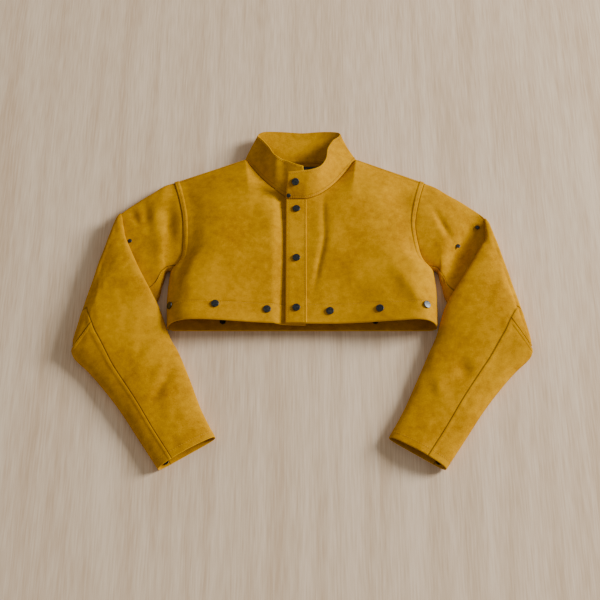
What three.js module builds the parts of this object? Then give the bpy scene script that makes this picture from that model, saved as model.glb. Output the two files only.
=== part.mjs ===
// A cropped leather welding cape with long sleeves, lying on its back on a flat surface.
// Millimetres, +Z up, +Y from the hem towards the collar, +X to the viewer's right.
// Every leather piece is its own solid: a wall laid on a curved surface, with a narrow gap at each seam.
import * as THREE from "three";

// Leather and seams
const wall = 1.6; // the hide
const collarWall = 2.4; // two plies of the hide
const stripWall = 1.4; // the placket strip
const seamGap = 0.6; // between the edges of two pieces sewn together
const layGap = 0.35; // between a piece and what it lies on
const stripGap = 0.5; // between the placket strip and the front, which curve across each other
const rivetGap = 0.8; // under a round piece on a sleeve's tight curve
const elbowGap = 1.3; // at the elbow seam, where the layers turn sharply

// Body
const chestWidth = 554; // across the hem, lying flat
const shoulderSpan = 546; // from one shoulder tip to the other
const shoulderLevel = 354; // from the hem up to the shoulder tips
const armpitLevel = 136; // from the hem up to the armpits
const shoulderSwing = 6; // how far both armholes lie to the left of the middle
const neckWidth = 243; // between the two ends of the shoulder seams at the neck
const neckLevel = 401; // from the hem up to those ends
const backNeckRise = 12; // how far the back neck seam stands above them
const frontNeckDepth = 111; // how far the front neck seam dips below them
const bodyLoft = 56; // how high the front panels stand over the floor
const edgeHeight = 13; // height of the side and shoulder seams
const armholeHeight = 37; // height of the armhole's front edge
const neckEndHeight = 18; // height of the shoulder seam's neck end
const frontNeckHeight = 50; // height of the front neck seam
const backNeckHeight = 9; // height of the back neck seam

// Front closure
const overlap = 34; // how far the right front runs past the centre
const underlap = 8; // how far the left front runs past it, below
const valleyWidth = 30; // the left front sinks over this width beside the closure
const valleyDepth = 8;
const placketWidth = 42;
const placketMargin = 1.2; // from the right front's edge to the strip's edge
const placketTopMargin = 3;

// Collar
const collarHeight = 70; // from the neck seam to the top edge
const collarBow = 2.5; // how far its wall bows out between them

// Sleeves
const sleeveReach = 190; // from the shoulder tip out to the elbow
const sleeveDrop = 659; // from the shoulder tip down to the cuff's outer end
const foldLoft = 36; // height of the folded sleeve
const innerFoldHeight = 25; // height of the line that the sleeve is folded over, at the sleeve's inner edge
const outerFoldHeight = 20; // and at its outer edge, at the elbow
const innerFoldRadius = 4; // of the fold at the inner edge
const outerFoldRadius = 4; // and at the outer edge
const sleeveSetOff = 1.6; // how far the sleeve's lower half starts outside the body's side

// Neck label
const labelWall = 0.8;
const labelRows = 3; // rows of the back panel that it spans, ending one row below the neck seam
const labelStations = 1; // stations of the back neck that it spans on either side of the centre

// Snaps and rivets
const snapRadius = 7.6;
const snapHeight = 2.4;
const socketRadius = 6.2;
const socketHeight = 2.0;
const rivetRadius = 4.6;
const rivetHeight = 1.6;
const roundSides = 14;

const hide = { color: 0xc8960c, roughness: 0.9, metalness: 0 };
const cloth = { color: 0x1b1c1e, roughness: 0.85, metalness: 0 };
const darkSteel = { color: 0x43484a, roughness: 0.4, metalness: 0.9 };

const halfChest = chestWidth / 2;
const halfSpan = shoulderSpan / 2;
const halfNeck = neckWidth / 2;
const armpit = armpitLevel / shoulderLevel; // its place on the outer edge, 0 at the hem and 1 at the shoulder tip
const closureStep = wall + layGap;

// Levels of the body's rows, as shares of the outer edge. The rows from the armpit up are shared with the sleeves.
const lowerLevels = [0, 0.14, 0.34, 0.56, 0.78, 0.92].map((share) => share * armpit);
const armholeLevels = [0, 0.009, 0.02, 0.034, 0.05, 0.075, 0.11, 0.2, 0.34, 0.5, 0.66, 0.8, 0.9, 0.97, 1].map(
  (share) => armpit + share * (1 - armpit),
);
const bodyLevels = [...lowerLevels, ...armholeLevels];
const underSeamRow = 4; // the armhole row at which the under sleeve's seams start

// Stations across the top edge: over the neck, and along the shoulder seam.
const neckStations = [0.26, 0.5, 0.7, 0.86, 0.95, 1];
const backNeckStations = [0.45, 0.75, 0.93, 1];
const shoulderStations = [0.16, 0.34, 0.52, 0.68, 0.81, 0.91, 0.97, 1];

// Half width of the body at each level, as shares of half the chest width.
const outline = [
  { level: 0, half: 1.0 },
  { level: 0.2, half: 1.01 },
  { level: 0.36, half: 0.995 },
  { level: 0.384, half: 0.98 },
  { level: 0.43, half: 0.925 },
  { level: 0.52, half: 0.897 },
  { level: 0.68, half: 0.892 },
  { level: 0.84, half: 0.93 },
  { level: 1, half: 0.9857 },
];

// Height of each front over the floor, as shares of the body's loft, at four places between the centre and the side.
const frontPlaces = [
  { name: "centre", at: 0 },
  { name: "inner", at: 0.3 },
  { name: "bulge", at: 0.68 },
  { name: "outer", at: 0.92 },
];
const leftHeights = [
  { level: 0, centre: 0.64, inner: 0.74, bulge: 1.0, outer: 1.02 },
  { level: 0.2, centre: 0.72, inner: 0.86, bulge: 1.03, outer: 0.98 },
  { level: 0.45, centre: 0.84, inner: 0.98, bulge: 1.0, outer: 0.86 },
  { level: 0.72, centre: 0.9, inner: 1.0, bulge: 0.92, outer: 0.76 },
  { level: 1, centre: 0.92, inner: 0.84, bulge: 0.66, outer: 0.5 },
];
const rightHeights = [
  { level: 0, centre: 0.66, inner: 0.66, bulge: 0.9, outer: 1.08 },
  { level: 0.2, centre: 0.74, inner: 0.82, bulge: 0.98, outer: 1.02 },
  { level: 0.45, centre: 0.84, inner: 0.98, bulge: 1.0, outer: 0.88 },
  { level: 0.72, centre: 0.9, inner: 1.0, bulge: 0.9, outer: 0.74 },
  { level: 1, centre: 0.92, inner: 0.84, bulge: 0.64, outer: 0.48 },
];

// Folds and dents of the fronts: place across as a share of half the chest, level, half length and half width
// as shares of the shoulder level, turn from upright in degrees, and height as a share of the loft.
const leftFolds = [
  { across: 0.9, level: 0.3, length: 0.12, width: 0.035, turn: 12, height: -0.12 },
  { across: 0.42, level: 0.62, length: 0.2, width: 0.09, turn: -18, height: -0.05 },
];
const rightFolds = [
  { across: 0.15, level: 0.6, length: 0.24, width: 0.022, turn: -4, height: -0.06 },
  { across: 0.76, level: 0.84, length: 0.09, width: 0.08, turn: 20, height: -0.11 },
  { across: 0.84, level: 0.2, length: 0.14, width: 0.05, turn: 28, height: 0.07 },
  { across: 0.6, level: 0.28, length: 0.16, width: 0.08, turn: 25, height: -0.06 },
];

// The collar's top edge from its neck seam, as shares of the collar's height, by the turn in degrees from the
// back's centre: out from the centre line, along towards the back, and up.
const rightLean = [
  { turn: 0, out: 0, along: 1.06, up: 0.07 },
  { turn: 30, out: -0.19, along: 1.13, up: 0.08 },
  { turn: 55, out: -0.23, along: 1.07, up: 0.17 },
  { turn: 90, out: -0.63, along: 0.8, up: 0.27 },
  { turn: 125, out: -0.57, along: 0.82, up: 0.32 },
  { turn: 150, out: -0.12, along: 0.86, up: 0.36 },
  { turn: 170, out: 0.17, along: 0.8, up: 0.45 },
  { turn: 200, out: 0.04, along: 0.63, up: 0.52 },
];
const leftLean = [
  { turn: 0, out: 0, along: 1.06, up: 0.07 },
  { turn: 30, out: -0.19, along: 1.13, up: 0.08 },
  { turn: 50, out: -0.15, along: 1.12, up: 0.13 },
  { turn: 90, out: -0.43, along: 0.9, up: 0.18 },
  { turn: 125, out: -0.42, along: 0.88, up: 0.27 },
  { turn: 150, out: -0.08, along: 1.02, up: 0.31 },
  { turn: 170, out: 0.05, along: 1.02, up: 0.37 },
  { turn: 200, out: 0.1, along: 0.86, up: 0.4 },
];
const collarStations = [0, 0.12, 0.35, 0.62, 0.86, 1];

// Sections of a sleeve from the armhole to the cuff. inner is the edge that starts at the shoulder tip and outer
// the one that starts at the armpit: x as a share of the reach, y of the drop or of the outer edge's own drop,
// z of the folded loft. front and back are how far the two faces stand off the line between the edges.
const headSections = [
  { innerX: 0, innerY: 0, innerZ: 0.36, outerX: 0, outerY: 0, outerZ: 0.36, front: 0.64, back: 0.34 },
  { innerX: 0.126, innerY: 0.015, innerZ: 0.36, outerX: 0.076, outerY: 0.007, outerZ: 0.35, front: 0.66, back: 0.33 },
  { innerX: 0.237, innerY: 0.036, innerZ: 0.35, outerX: 0.113, outerY: 0.075, outerZ: 0.33, front: 0.6, back: 0.31 },
  { innerX: 0.43, innerY: 0.075, innerZ: 0.38, outerX: 0.245, outerY: 0.206, outerZ: 0.3, front: 0.42, back: 0.27 },
  { innerX: 0.6, innerY: 0.122, innerZ: 0.56, outerX: 0.976, outerY: 0.383, outerZ: 0.43, front: 0.09, back: 0.4 },
];
const crease = { innerX: 0.612, innerY: 0.134, outerX: 1, outerY: 0.392, front: 0.07, back: 0.14 };
const foldSteps = 4; // steps of the half turn over the crease
const forearmSections = [
  { innerX: 0.572, innerY: 0.211, innerZ: 0.8, outerX: 1.004, outerY: 0.396, outerZ: 0.67, front: 0.07, back: 0.3 },
  { innerX: 0.5, innerY: 0.259, innerZ: 0.9, outerX: 1.01, outerY: 0.404, outerZ: 0.66, front: 0.1, back: 0.36 },
  { innerX: 0.353, innerY: 0.343, innerZ: 1.0, outerX: 1.02, outerY: 0.418, outerZ: 0.62, front: 0.14, back: 0.4 },
  { innerX: 0.216, innerY: 0.419, innerZ: 0.94, outerX: 1.022, outerY: 0.446, outerZ: 0.54, front: 0.16, back: 0.46 },
  { innerX: 0.11, innerY: 0.48, innerZ: 0.74, outerX: 0.982, outerY: 0.472, outerZ: 0.38, front: 0.24, back: 0.58 },
  { innerX: -0.01, innerY: 0.569, innerZ: 0.44, outerX: 0.85, outerY: 0.524, outerZ: 0.33, front: 0.36, back: 0.62 },
  { innerX: -0.118, innerY: 0.625, innerZ: 0.36, outerX: 0.7, outerY: 0.596, outerZ: 0.33, front: 0.36, back: 0.6 },
  { innerX: -0.25, innerY: 0.716, innerZ: 0.33, outerX: 0.482, outerY: 0.716, outerZ: 0.33, front: 0.36, back: 0.56 },
  { innerX: -0.38, innerY: 0.813, innerZ: 0.33, outerX: 0.26, outerY: 0.859, outerZ: 0.33, front: 0.36, back: 0.5 },
  { innerX: -0.534, innerY: 0.901, innerZ: 0.34, outerX: 0.04, outerY: 1.0, outerZ: 0.34, front: 0.36, back: 0.5 },
];
const creaseSection = headSections.length + foldSteps / 2; // the middle of the half turn
const elbowSection = headSections.length + 1 + foldSteps + 2; // the section along which the elbow seam runs
// How the right sleeve's inner edge lies further out and down than the left one's, as shares of the reach and the
// drop, by section.
const rightShifts = [
  { section: 1, out: 0, down: 0.005 },
  { section: 2, out: 0, down: 0.011 },
  { section: 3, out: 0, down: 0.013 },
  { section: 4, out: 0.004, down: 0.013 },
  { section: 5, out: 0.006, down: 0.017 },
  { section: 6, out: 0.006, down: 0.017 },
  { section: 7, out: 0.006, down: 0.017 },
  { section: 8, out: 0.006, down: 0.017 },
  { section: 9, out: 0.006, down: 0.017 },
  { section: 10, out: 0.04, down: 0.013 },
  { section: 11, out: 0.045, down: 0.003 },
  { section: 12, out: 0.037, down: 0 },
  { section: 13, out: 0.014, down: 0 },
  { section: 15, out: 0.02, down: 0 },
  { section: 16, out: 0.04, down: 0 },
  { section: 17, out: 0.034, down: 0 },
  { section: 18, out: 0.012, down: 0 },
];
// Where the under sleeve's two seams lie on the front and back faces, as shares of the half turn from the inner
// edge to the outer one, by section.
const underSeams = {
  left: [
    { section: 1, front: 0.89, back: 0.82 },
    { section: 2, front: 0.79, back: 0.78 },
    { section: 3, front: 0.74, back: 0.75 },
    { section: 6, front: 0.7, back: 0.7 },
    { section: 12, front: 0.7, back: 0.64 },
    { section: 14, front: 0.7, back: 0.63 },
    { section: 16, front: 0.7, back: 0.675 },
    { section: 19, front: 0.7, back: 0.67 },
  ],
  right: [
    { section: 1, front: 0.89, back: 0.82 },
    { section: 2, front: 0.79, back: 0.78 },
    { section: 3, front: 0.74, back: 0.75 },
    { section: 6, front: 0.7, back: 0.7 },
    { section: 12, front: 0.7, back: 0.63 },
    { section: 14, front: 0.7, back: 0.6 },
    { section: 16, front: 0.7, back: 0.62 },
    { section: 19, front: 0.7, back: 0.61 },
  ],
};

// Snaps and rivets. The placket's snaps lie at shares of the closure's length.
const placketSnaps = [0.9094, 0.5029, 0.1147];
// Across is a share of half the chest width, up a share of the shoulder level.
const hemSnaps = {
  left: [
    { across: 0.975, up: 0.114 },
    { across: 0.64, up: 0.097 },
    { across: 0.259, up: 0.08 },
  ],
  right: [
    { across: 0.206, up: 0.074 },
    { across: 0.574, up: 0.078 },
    { across: 0.915, up: 0.094 },
  ],
};
const backHemSnaps = [-0.59, -0.21, 0.166, 0.545].map((across) => ({ across, up: 0.052 }));
const collarSnap = { turn: 189, rise: 0.62 };
const collarStud = { turn: 194, rise: 0.14 };
const sleeveRivets = [
  { name: "sleeve_rivet_left", side: "left", section: 3.332, around: 0.395 },
  { name: "sleeve_rivet_right_1", side: "right", section: 3.5, around: 0.25 },
  { name: "sleeve_rivet_right_2", side: "right", section: 2.876, around: 0.46 },
];
const cuffSnap = { before: 0.13, around: 0.74 };

const clamp = (value, low = 0, high = 1) => Math.min(high, Math.max(low, value));
const mix = (a, b, share) => a + (b - a) * share;
const smooth = (value) => {
  const t = clamp(value);
  return t * t * (3 - 2 * t);
};
// A quarter round: flat at 0, and steep where it reaches 1.
const quarterRound = (value) => 1 - Math.sqrt(1 - clamp(value) ** 2);

// The value of a column at a place between the rows of a table, on a smooth curve through the rows.
function readTable(rows, key, column, at) {
  const last = rows.length - 1;
  let i = 0;
  while (i < last - 1 && at > rows[i + 1][key]) i += 1;
  const slope = (k) => {
    const a = rows[Math.max(k - 1, 0)];
    const b = rows[Math.min(k + 1, last)];
    return (b[column] - a[column]) / (b[key] - a[key]);
  };
  const span = rows[i + 1][key] - rows[i][key];
  const t = clamp((at - rows[i][key]) / span);
  const [p, q] = [rows[i][column], rows[i + 1][column]];
  return (
    p * (1 + 2 * t) * (1 - t) ** 2 +
    slope(i) * span * t * (1 - t) ** 2 +
    q * t * t * (3 - 2 * t) +
    slope(i + 1) * span * t * t * (t - 1)
  );
}

// Outer edge of the body at a level on the side with a sign, measured from the centre.
function outerEdge(level, sign) {
  const swing = shoulderSwing * smooth((level - armpit) / 0.3);
  return halfChest * readTable(outline, "level", "half", level) - sign * swing;
}

// The top edge in plan, by distance from the centre: the shoulder seam, then the front or back neck seam.
function topEdge(across, isFront) {
  const fromNeck = clamp((across - halfNeck) / (halfSpan - halfNeck));
  if (across >= halfNeck) return mix(neckLevel, shoulderLevel, fromNeck);
  const inNeck = clamp(across / halfNeck);
  if (isFront) return neckLevel - frontNeckDepth * (1 - inNeck ** 1.85);
  return neckLevel + backNeckRise * Math.cos((inNeck * Math.PI) / 2);
}

// Height of the top edge, by distance from the centre.
function topEdgeHeight(across, isFront) {
  const fromNeck = clamp((across - halfNeck) / (halfSpan - halfNeck));
  if (across >= halfNeck) return mix(neckEndHeight, edgeHeight, fromNeck);
  const inNeck = clamp(across / halfNeck);
  const centreHeight = isFront ? frontNeckHeight : backNeckHeight;
  return mix(centreHeight, neckEndHeight, inNeck ** 2);
}

// How far up the armhole a level is, 0 at the armpit and 1 at the shoulder tip.
const upArmhole = (level) => clamp((level - armpit) / (1 - armpit));

// Height that folds and dents add at a place on a front.
function foldHeight(folds, across, y) {
  let sum = 0;
  for (const fold of folds) {
    const turn = THREE.MathUtils.degToRad(fold.turn);
    const dx = (across - fold.across * halfChest) / shoulderLevel;
    const dy = y / shoulderLevel - fold.level;
    const along = dy * Math.cos(turn) + dx * Math.sin(turn);
    const side = dx * Math.cos(turn) - dy * Math.sin(turn);
    sum += fold.height * Math.exp(-((along / fold.length) ** 2) - (side / fold.width) ** 2);
  }
  return sum * bodyLoft;
}

const fronts = {
  left: { sign: -1, past: underlap, heights: leftHeights, folds: leftFolds, sinks: true },
  right: { sign: 1, past: overlap, heights: rightHeights, folds: rightFolds, sinks: false },
};

// How far the left front sinks below the right one, by distance from the centre on its own side.
function sinking(front, across) {
  return front.sinks ? valleyDepth * (1 - smooth((across - overlap) / valleyWidth)) : 0;
}

// The share of a front at a distance from the centre. Beyond the centre the panel widens and narrows with its edge.
function shareAt(front, across, level) {
  const topAcross = across > 0 ? (across * halfSpan) / outerEdge(level, front.sign) : across;
  return (topAcross + front.past) / (halfSpan + front.past);
}

// A point of a front's middle surface: share runs from its centre edge to its outer edge, level from hem to top.
function frontPoint(front, share, level) {
  const edge = outerEdge(level, front.sign);
  const topAcross = mix(-front.past, halfSpan, share);
  const across = topAcross > 0 ? (topAcross * edge) / halfSpan : topAcross;
  const y = level * topEdge(Math.abs(topAcross) < underlap ? 0 : Math.max(topAcross, 0), true);
  const fromCentre = clamp(across / edge);
  const places = frontPlaces.map(({ name, at }) => ({
    at,
    height: readTable(front.heights, "level", name, level),
  }));
  let z = bodyLoft * readTable(places, "at", "height", fromCentre) + foldHeight(front.folds, across, y);
  const nearTop = quarterRound((level - 0.78) / 0.22);
  z = mix(z, topEdgeHeight(Math.max(topAcross, 0), true), nearTop);
  const up = upArmhole(level);
  const sideHeight = edgeHeight + (armholeHeight - edgeHeight) * Math.sin(Math.PI * up) ** 0.7;
  const nearSide = clamp((fromCentre - 0.8) / 0.2);
  const open = smooth(up / 0.15) * smooth((1 - up) / 0.15);
  const side = mix(quarterRound(nearSide), nearSide ** 2, open) * (1 - nearTop);
  z = mix(z, sideHeight, side) - sinking(front, across);
  return new THREE.Vector3(front.sign * across, y, z);
}

// A point of the back's middle surface: share runs from -1 at the left edge to 1 at the right edge.
function backPoint(share, level) {
  const fromCentre = Math.abs(share);
  const topAcross = fromCentre * halfSpan;
  const y = level * topEdge(topAcross, false);
  const up = upArmhole(level);
  const sideHeight = mix(edgeHeight, wall, Math.sin(Math.PI * up) ** 0.5);
  const nearTop = quarterRound((level - 0.93) / 0.07);
  const nearSide = quarterRound((fromCentre - 0.92) / 0.08);
  let z = mix(wall / 2, sideHeight, nearSide * (1 - nearTop));
  z = mix(z, topEdgeHeight(topAcross, false), nearTop);
  return new THREE.Vector3(share * outerEdge(level, Math.sign(share)), y, z);
}

// The normal of a surface by differences, pointing out of the garment.
function surfaceNormal(pointAt, a, b, outward, step = 0.012) {
  const along = pointAt(Math.min(a + step, 1), b).sub(pointAt(a - step, b));
  const up = pointAt(a, Math.min(b + step, 1)).sub(pointAt(a, Math.max(b - step, 0)));
  const normal = along.cross(up).normalize();
  return normal.dot(outward) < 0 ? normal.negate() : normal;
}

const upward = new THREE.Vector3(0, 0, 1);
const downward = new THREE.Vector3(0, 0, -1);

// The level normal of the seam line where a front and the back meet at the side, the armpit or the shoulder.
function seamNormal(sign, share, level) {
  if (share >= 1 && level === armpit) return new THREE.Vector3(sign, -1, 0).normalize();
  const atTop = level >= 1;
  const step = 0.01;
  const line = atTop
    ? (t) => backPoint(sign * clamp(t), 1)
    : (t) => backPoint(sign, clamp(t));
  const place = atTop ? share : level;
  const tangent = line(place + step).sub(line(place - step));
  const normal = new THREE.Vector3(tangent.y, -tangent.x, 0).normalize();
  const away = new THREE.Vector3(sign, atTop ? 4 : 0, 0);
  return normal.dot(away) < 0 ? normal.negate() : normal;
}

// A wall on a grid of middle points, closed round its rim: below and above are its two offsets along the normals.
function wallGeometry(points, normals, below, above) {
  const rows = points.length;
  const columns = points[0].length;
  const positions = [];
  for (const offset of [above, below]) {
    points.forEach((row, i) =>
      row.forEach((point, j) => {
        positions.push(...point.clone().addScaledVector(normals[i][j], offset).toArray());
      }),
    );
  }
  const index = [];
  const at = (layer, i, j) => (layer * rows + i) * columns + j;
  const quad = (a, b, c, d) => index.push(a, b, c, a, c, d);
  for (let i = 0; i < rows - 1; i += 1) {
    for (let j = 0; j < columns - 1; j += 1) {
      quad(at(0, i, j), at(0, i, j + 1), at(0, i + 1, j + 1), at(0, i + 1, j));
      quad(at(1, i, j), at(1, i + 1, j), at(1, i + 1, j + 1), at(1, i, j + 1));
    }
  }
  const rim = [];
  for (let j = 0; j < columns - 1; j += 1) rim.push([0, j]);
  for (let i = 0; i < rows - 1; i += 1) rim.push([i, columns - 1]);
  for (let j = columns - 1; j > 0; j -= 1) rim.push([rows - 1, j]);
  for (let i = rows - 1; i > 0; i -= 1) rim.push([i, 0]);
  rim.forEach(([i, j], k) => {
    const [m, n] = rim[(k + 1) % rim.length];
    quad(at(0, i, j), at(1, i, j), at(1, m, n), at(0, m, n));
  });
  const geometry = new THREE.BufferGeometry();
  geometry.setAttribute("position", new THREE.Float32BufferAttribute(positions, 3));
  geometry.setIndex(volumeOf(positions, index) < 0 ? reversed(index) : index);
  geometry.computeVertexNormals();
  return geometry;
}

function volumeOf(positions, index) {
  const corner = (k) => new THREE.Vector3().fromArray(positions, 3 * index[k]);
  let sum = 0;
  for (let k = 0; k < index.length; k += 3) {
    sum += corner(k).dot(corner(k + 1).cross(corner(k + 2)));
  }
  return sum;
}

function reversed(index) {
  const turned = [];
  for (let k = 0; k < index.length; k += 3) turned.push(index[k], index[k + 2], index[k + 1]);
  return turned;
}

// Draws the named edges of a grid back along its surface, so that two pieces leave a gap at their seam.
function trimmed(points, { first = 0, last = 0, start = 0, end = 0 }) {
  const drawn = points.map((row) => row.map((point) => point.clone()));
  const rows = points.length - 1;
  const columns = points[0].length - 1;
  const shift = (i, j, m, n, length) => {
    const inward = points[m][n].clone().sub(points[i][j]).setLength(length);
    drawn[i][j].add(inward);
  };
  for (let j = 0; j <= columns; j += 1) {
    if (first) shift(0, j, 1, j, first);
    if (last) shift(rows, j, rows - 1, j, last);
  }
  for (let i = 0; i <= rows; i += 1) {
    if (start) shift(i, 0, i, 1, start);
    if (end) shift(i, columns, i, columns - 1, end);
  }
  return drawn;
}

const halfGap = seamGap / 2;
const part = new THREE.Group();

function addMesh(name, geometry, finish) {
  const mesh = new THREE.Mesh(geometry, new THREE.MeshStandardMaterial(finish));
  mesh.name = name;
  part.add(mesh);
  return mesh;
}

// Shares of a front across its width: over the neck to its end, then along the shoulder seam.
function frontShares(front) {
  const width = halfSpan + front.past;
  const neck = neckStations.map((station) => mix(-front.past, halfNeck, station));
  const shoulder = shoulderStations.map((station) => mix(halfNeck, halfSpan, station));
  return [-front.past, ...neck, ...shoulder].map((across) => (across + front.past) / width);
}

// Shares of one half of the back, from its centre to its edge.
const backHalfShares = [
  ...backNeckStations.map((station) => station * halfNeck),
  ...shoulderStations.map((station) => mix(halfNeck, halfSpan, station)),
].map((across) => across / halfSpan);
const backShares = [...backHalfShares.map((share) => -share).reverse(), 0, ...backHalfShares];

// Where the collar's wall starts: on the neck seam, by the turn in degrees from the back's centre.
function neckSeam(front, turn) {
  const across = halfNeck * Math.sin(THREE.MathUtils.degToRad(turn));
  if (turn > 90) return frontPoint(front, (across + front.past) / (halfSpan + front.past), 1);
  return backPoint((front.sign * across) / halfSpan, 1);
}

// A point of the collar's middle surface: rise runs from the neck seam to the top edge.
function collarPoint(front, lean, turn, rise) {
  const base = neckSeam(front, turn);
  const read = (column) => collarHeight * readTable(lean, "turn", column, turn);
  const reach = new THREE.Vector3(front.sign * read("out"), read("along"), read("up"));
  const bow = collarBow * 4 * rise * (1 - rise) * smooth((turn - 30) / 60);
  const out = new THREE.Vector3(front.sign * Math.sin(THREE.MathUtils.degToRad(turn)), 0, 0);
  const frontward = smooth((turn - 90) / 60);
  const bulge = out.multiplyScalar(1 - frontward).add(new THREE.Vector3(0, -0.4, 0.9).multiplyScalar(frontward));
  return base.addScaledVector(reach, rise).addScaledVector(bulge, bow);
}

// The turn at which the neck seam is at a distance from the centre.
function turnAt(across, isFront) {
  if (across > halfNeck - 1e-6) return 90;
  const turn = THREE.MathUtils.radToDeg(Math.asin(clamp(across / halfNeck, -1, 1)));
  return isFront ? 180 - turn : turn;
}

// The collar's turns on one side, from the back's centre to its front end, on the body's own stations.
function collarTurns(front) {
  const width = halfSpan + front.past;
  const back = backHalfShares.map((share) => share * halfSpan).filter((across) => across < halfNeck + 1e-6);
  const frontEdge = frontShares(front)
    .map((share) => share * width - front.past)
    .filter((across) => across < halfNeck - 1e-6)
    .reverse();
  return [0, ...back.map((across) => turnAt(across, false)), ...frontEdge.map((across) => turnAt(across, true))];
}

const sidesOfCollar = {
  left: { front: fronts.left, lean: leftLean },
  right: { front: fronts.right, lean: rightLean },
};

function collarNormal(side, turn, rise) {
  const { front, lean } = side;
  const step = 0.8;
  const along = collarPoint(front, lean, turn + step, rise).sub(collarPoint(front, lean, Math.max(turn - step, 0), rise));
  const up = collarPoint(front, lean, turn, Math.min(rise + 0.02, 1)).sub(
    collarPoint(front, lean, turn, Math.max(rise - 0.02, 0)),
  );
  return along.cross(up).normalize().multiplyScalar(-front.sign);
}

// The normal shared by the collar and a body panel along the neck seam.
function neckNormal(side, turn) {
  const { front } = side;
  if (turn === 90) {
    return seamNormal(front.sign, halfNeck / halfSpan, 1).add(collarNormal(side, turn, 0)).normalize();
  }
  const across = halfNeck * Math.sin(THREE.MathUtils.degToRad(turn));
  const body =
    turn > 90
      ? surfaceNormal((a, b) => frontPoint(front, a, b), (across + front.past) / (halfSpan + front.past), 0.995, upward)
      : surfaceNormal((a, b) => backPoint(a, b), (front.sign * across) / halfSpan, 0.995, downward);
  return body.add(collarNormal(side, turn, 0)).normalize();
}

function makeFront(name, side) {
  const { front } = side;
  const shares = frontShares(front);
  const pointAt = (share, level) => frontPoint(front, share, level);
  const points = bodyLevels.map((level) => shares.map((share) => pointAt(share, level)));
  const normals = bodyLevels.map((level) =>
    shares.map((share) => {
      const across = share * (halfSpan + front.past) - front.past;
      if (level >= 1 && across < halfNeck + 1e-6) return neckNormal(side, turnAt(across, true));
      if (level >= 1 || (share >= 1 && level <= armpit)) return seamNormal(front.sign, clamp(across / halfSpan), level);
      return surfaceNormal(pointAt, share, level, upward);
    }),
  );
  const drawn = trimmed(points, { last: halfGap, end: halfGap });
  addMesh(name, wallGeometry(drawn, normals, -wall / 2, wall / 2), hide);
  return { points: drawn, normals, shares };
}

function makeBack() {
  const points = bodyLevels.map((level) => backShares.map((share) => backPoint(share, level)));
  const normals = bodyLevels.map((level) =>
    backShares.map((share) => {
      const across = Math.abs(share) * halfSpan;
      const side = share < 0 ? sidesOfCollar.left : sidesOfCollar.right;
      if (level >= 1 && across < halfNeck + 1e-6) return neckNormal(side, turnAt(across, false));
      if (level >= 1 || (Math.abs(share) >= 1 && level <= armpit)) {
        return seamNormal(Math.sign(share) || 1, Math.abs(share), level);
      }
      return surfaceNormal(backPoint, share, level, downward);
    }),
  );
  const drawn = trimmed(points, { last: halfGap, start: halfGap, end: halfGap });
  addMesh("back_panel", wallGeometry(drawn, normals, -wall / 2, wall / 2), hide);
}

// The strip that carries the placket's snaps, laid on the right front along its edge.
function makePlacket() {
  const front = fronts.right;
  const width = halfSpan + front.past;
  const levels = bodyLevels.map((level) => mix(0.004, 1 - placketTopMargin / (neckLevel - frontNeckDepth), level));
  const edges = [placketMargin, placketMargin + placketWidth / 2, placketMargin + placketWidth];
  const pointAt = (share, level) => frontPoint(front, share, level);
  const points = levels.map((level) => {
    return edges.map((edge) => pointAt(shareAt(front, edge - overlap, level), level));
  });
  const normals = levels.map((level) => edges.map((edge) => surfaceNormal(pointAt, edge / width, level, upward)));
  const seat = wall / 2 + stripGap;
  addMesh("placket_strip", wallGeometry(points, normals, seat, seat + stripWall), hide);
}

function makeCollar() {
  const columns = [];
  for (const [name, side] of Object.entries(sidesOfCollar)) {
    const turns = collarTurns(side.front);
    const built = turns.map((turn) => ({
      points: collarStations.map((rise) => collarPoint(side.front, side.lean, turn, rise)),
      normals: collarStations.map((rise) => (rise ? collarNormal(side, turn, rise) : neckNormal(side, turn))),
    }));
    if (name === "left") columns.push(...built.reverse());
    else columns.push(...built.slice(1));
  }
  const points = trimmed(
    columns.map((column) => column.points),
    { start: halfGap },
  );
  const normals = columns.map((column) => column.normals);
  addMesh("collar", wallGeometry(points, normals, -collarWall / 2, collarWall / 2), hide);
}

const outerDrop = sleeveDrop - (shoulderLevel - armpitLevel);

// The edges of a sleeve's section as points, x measured out from the centre. From the crease down, the inner edge
// leaves the shoulder tip's line for the body's side.
function sectionEdges(row) {
  const besideBody = smooth((row.innerY - crease.innerY) / 0.25);
  return {
    inner: new THREE.Vector3(
      mix(halfSpan, outerEdge(armpit, 0) + sleeveSetOff, besideBody) + sleeveReach * row.innerX,
      shoulderLevel - sleeveDrop * row.innerY,
      foldLoft * (row.innerZ ?? 0),
    ),
    outer: new THREE.Vector3(
      outerEdge(armpit, 0) + sleeveReach * row.outerX,
      armpitLevel - outerDrop * row.outerY,
      foldLoft * (row.outerZ ?? 0),
    ),
    front: foldLoft * row.front,
    back: foldLoft * row.back,
  };
}

// The direction that leads away from the body, level and square to the line between a section's edges.
function awayFrom(inner, outer) {
  const line = inner.clone().sub(outer);
  return new THREE.Vector3(line.y, -line.x, 0).normalize();
}

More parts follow.
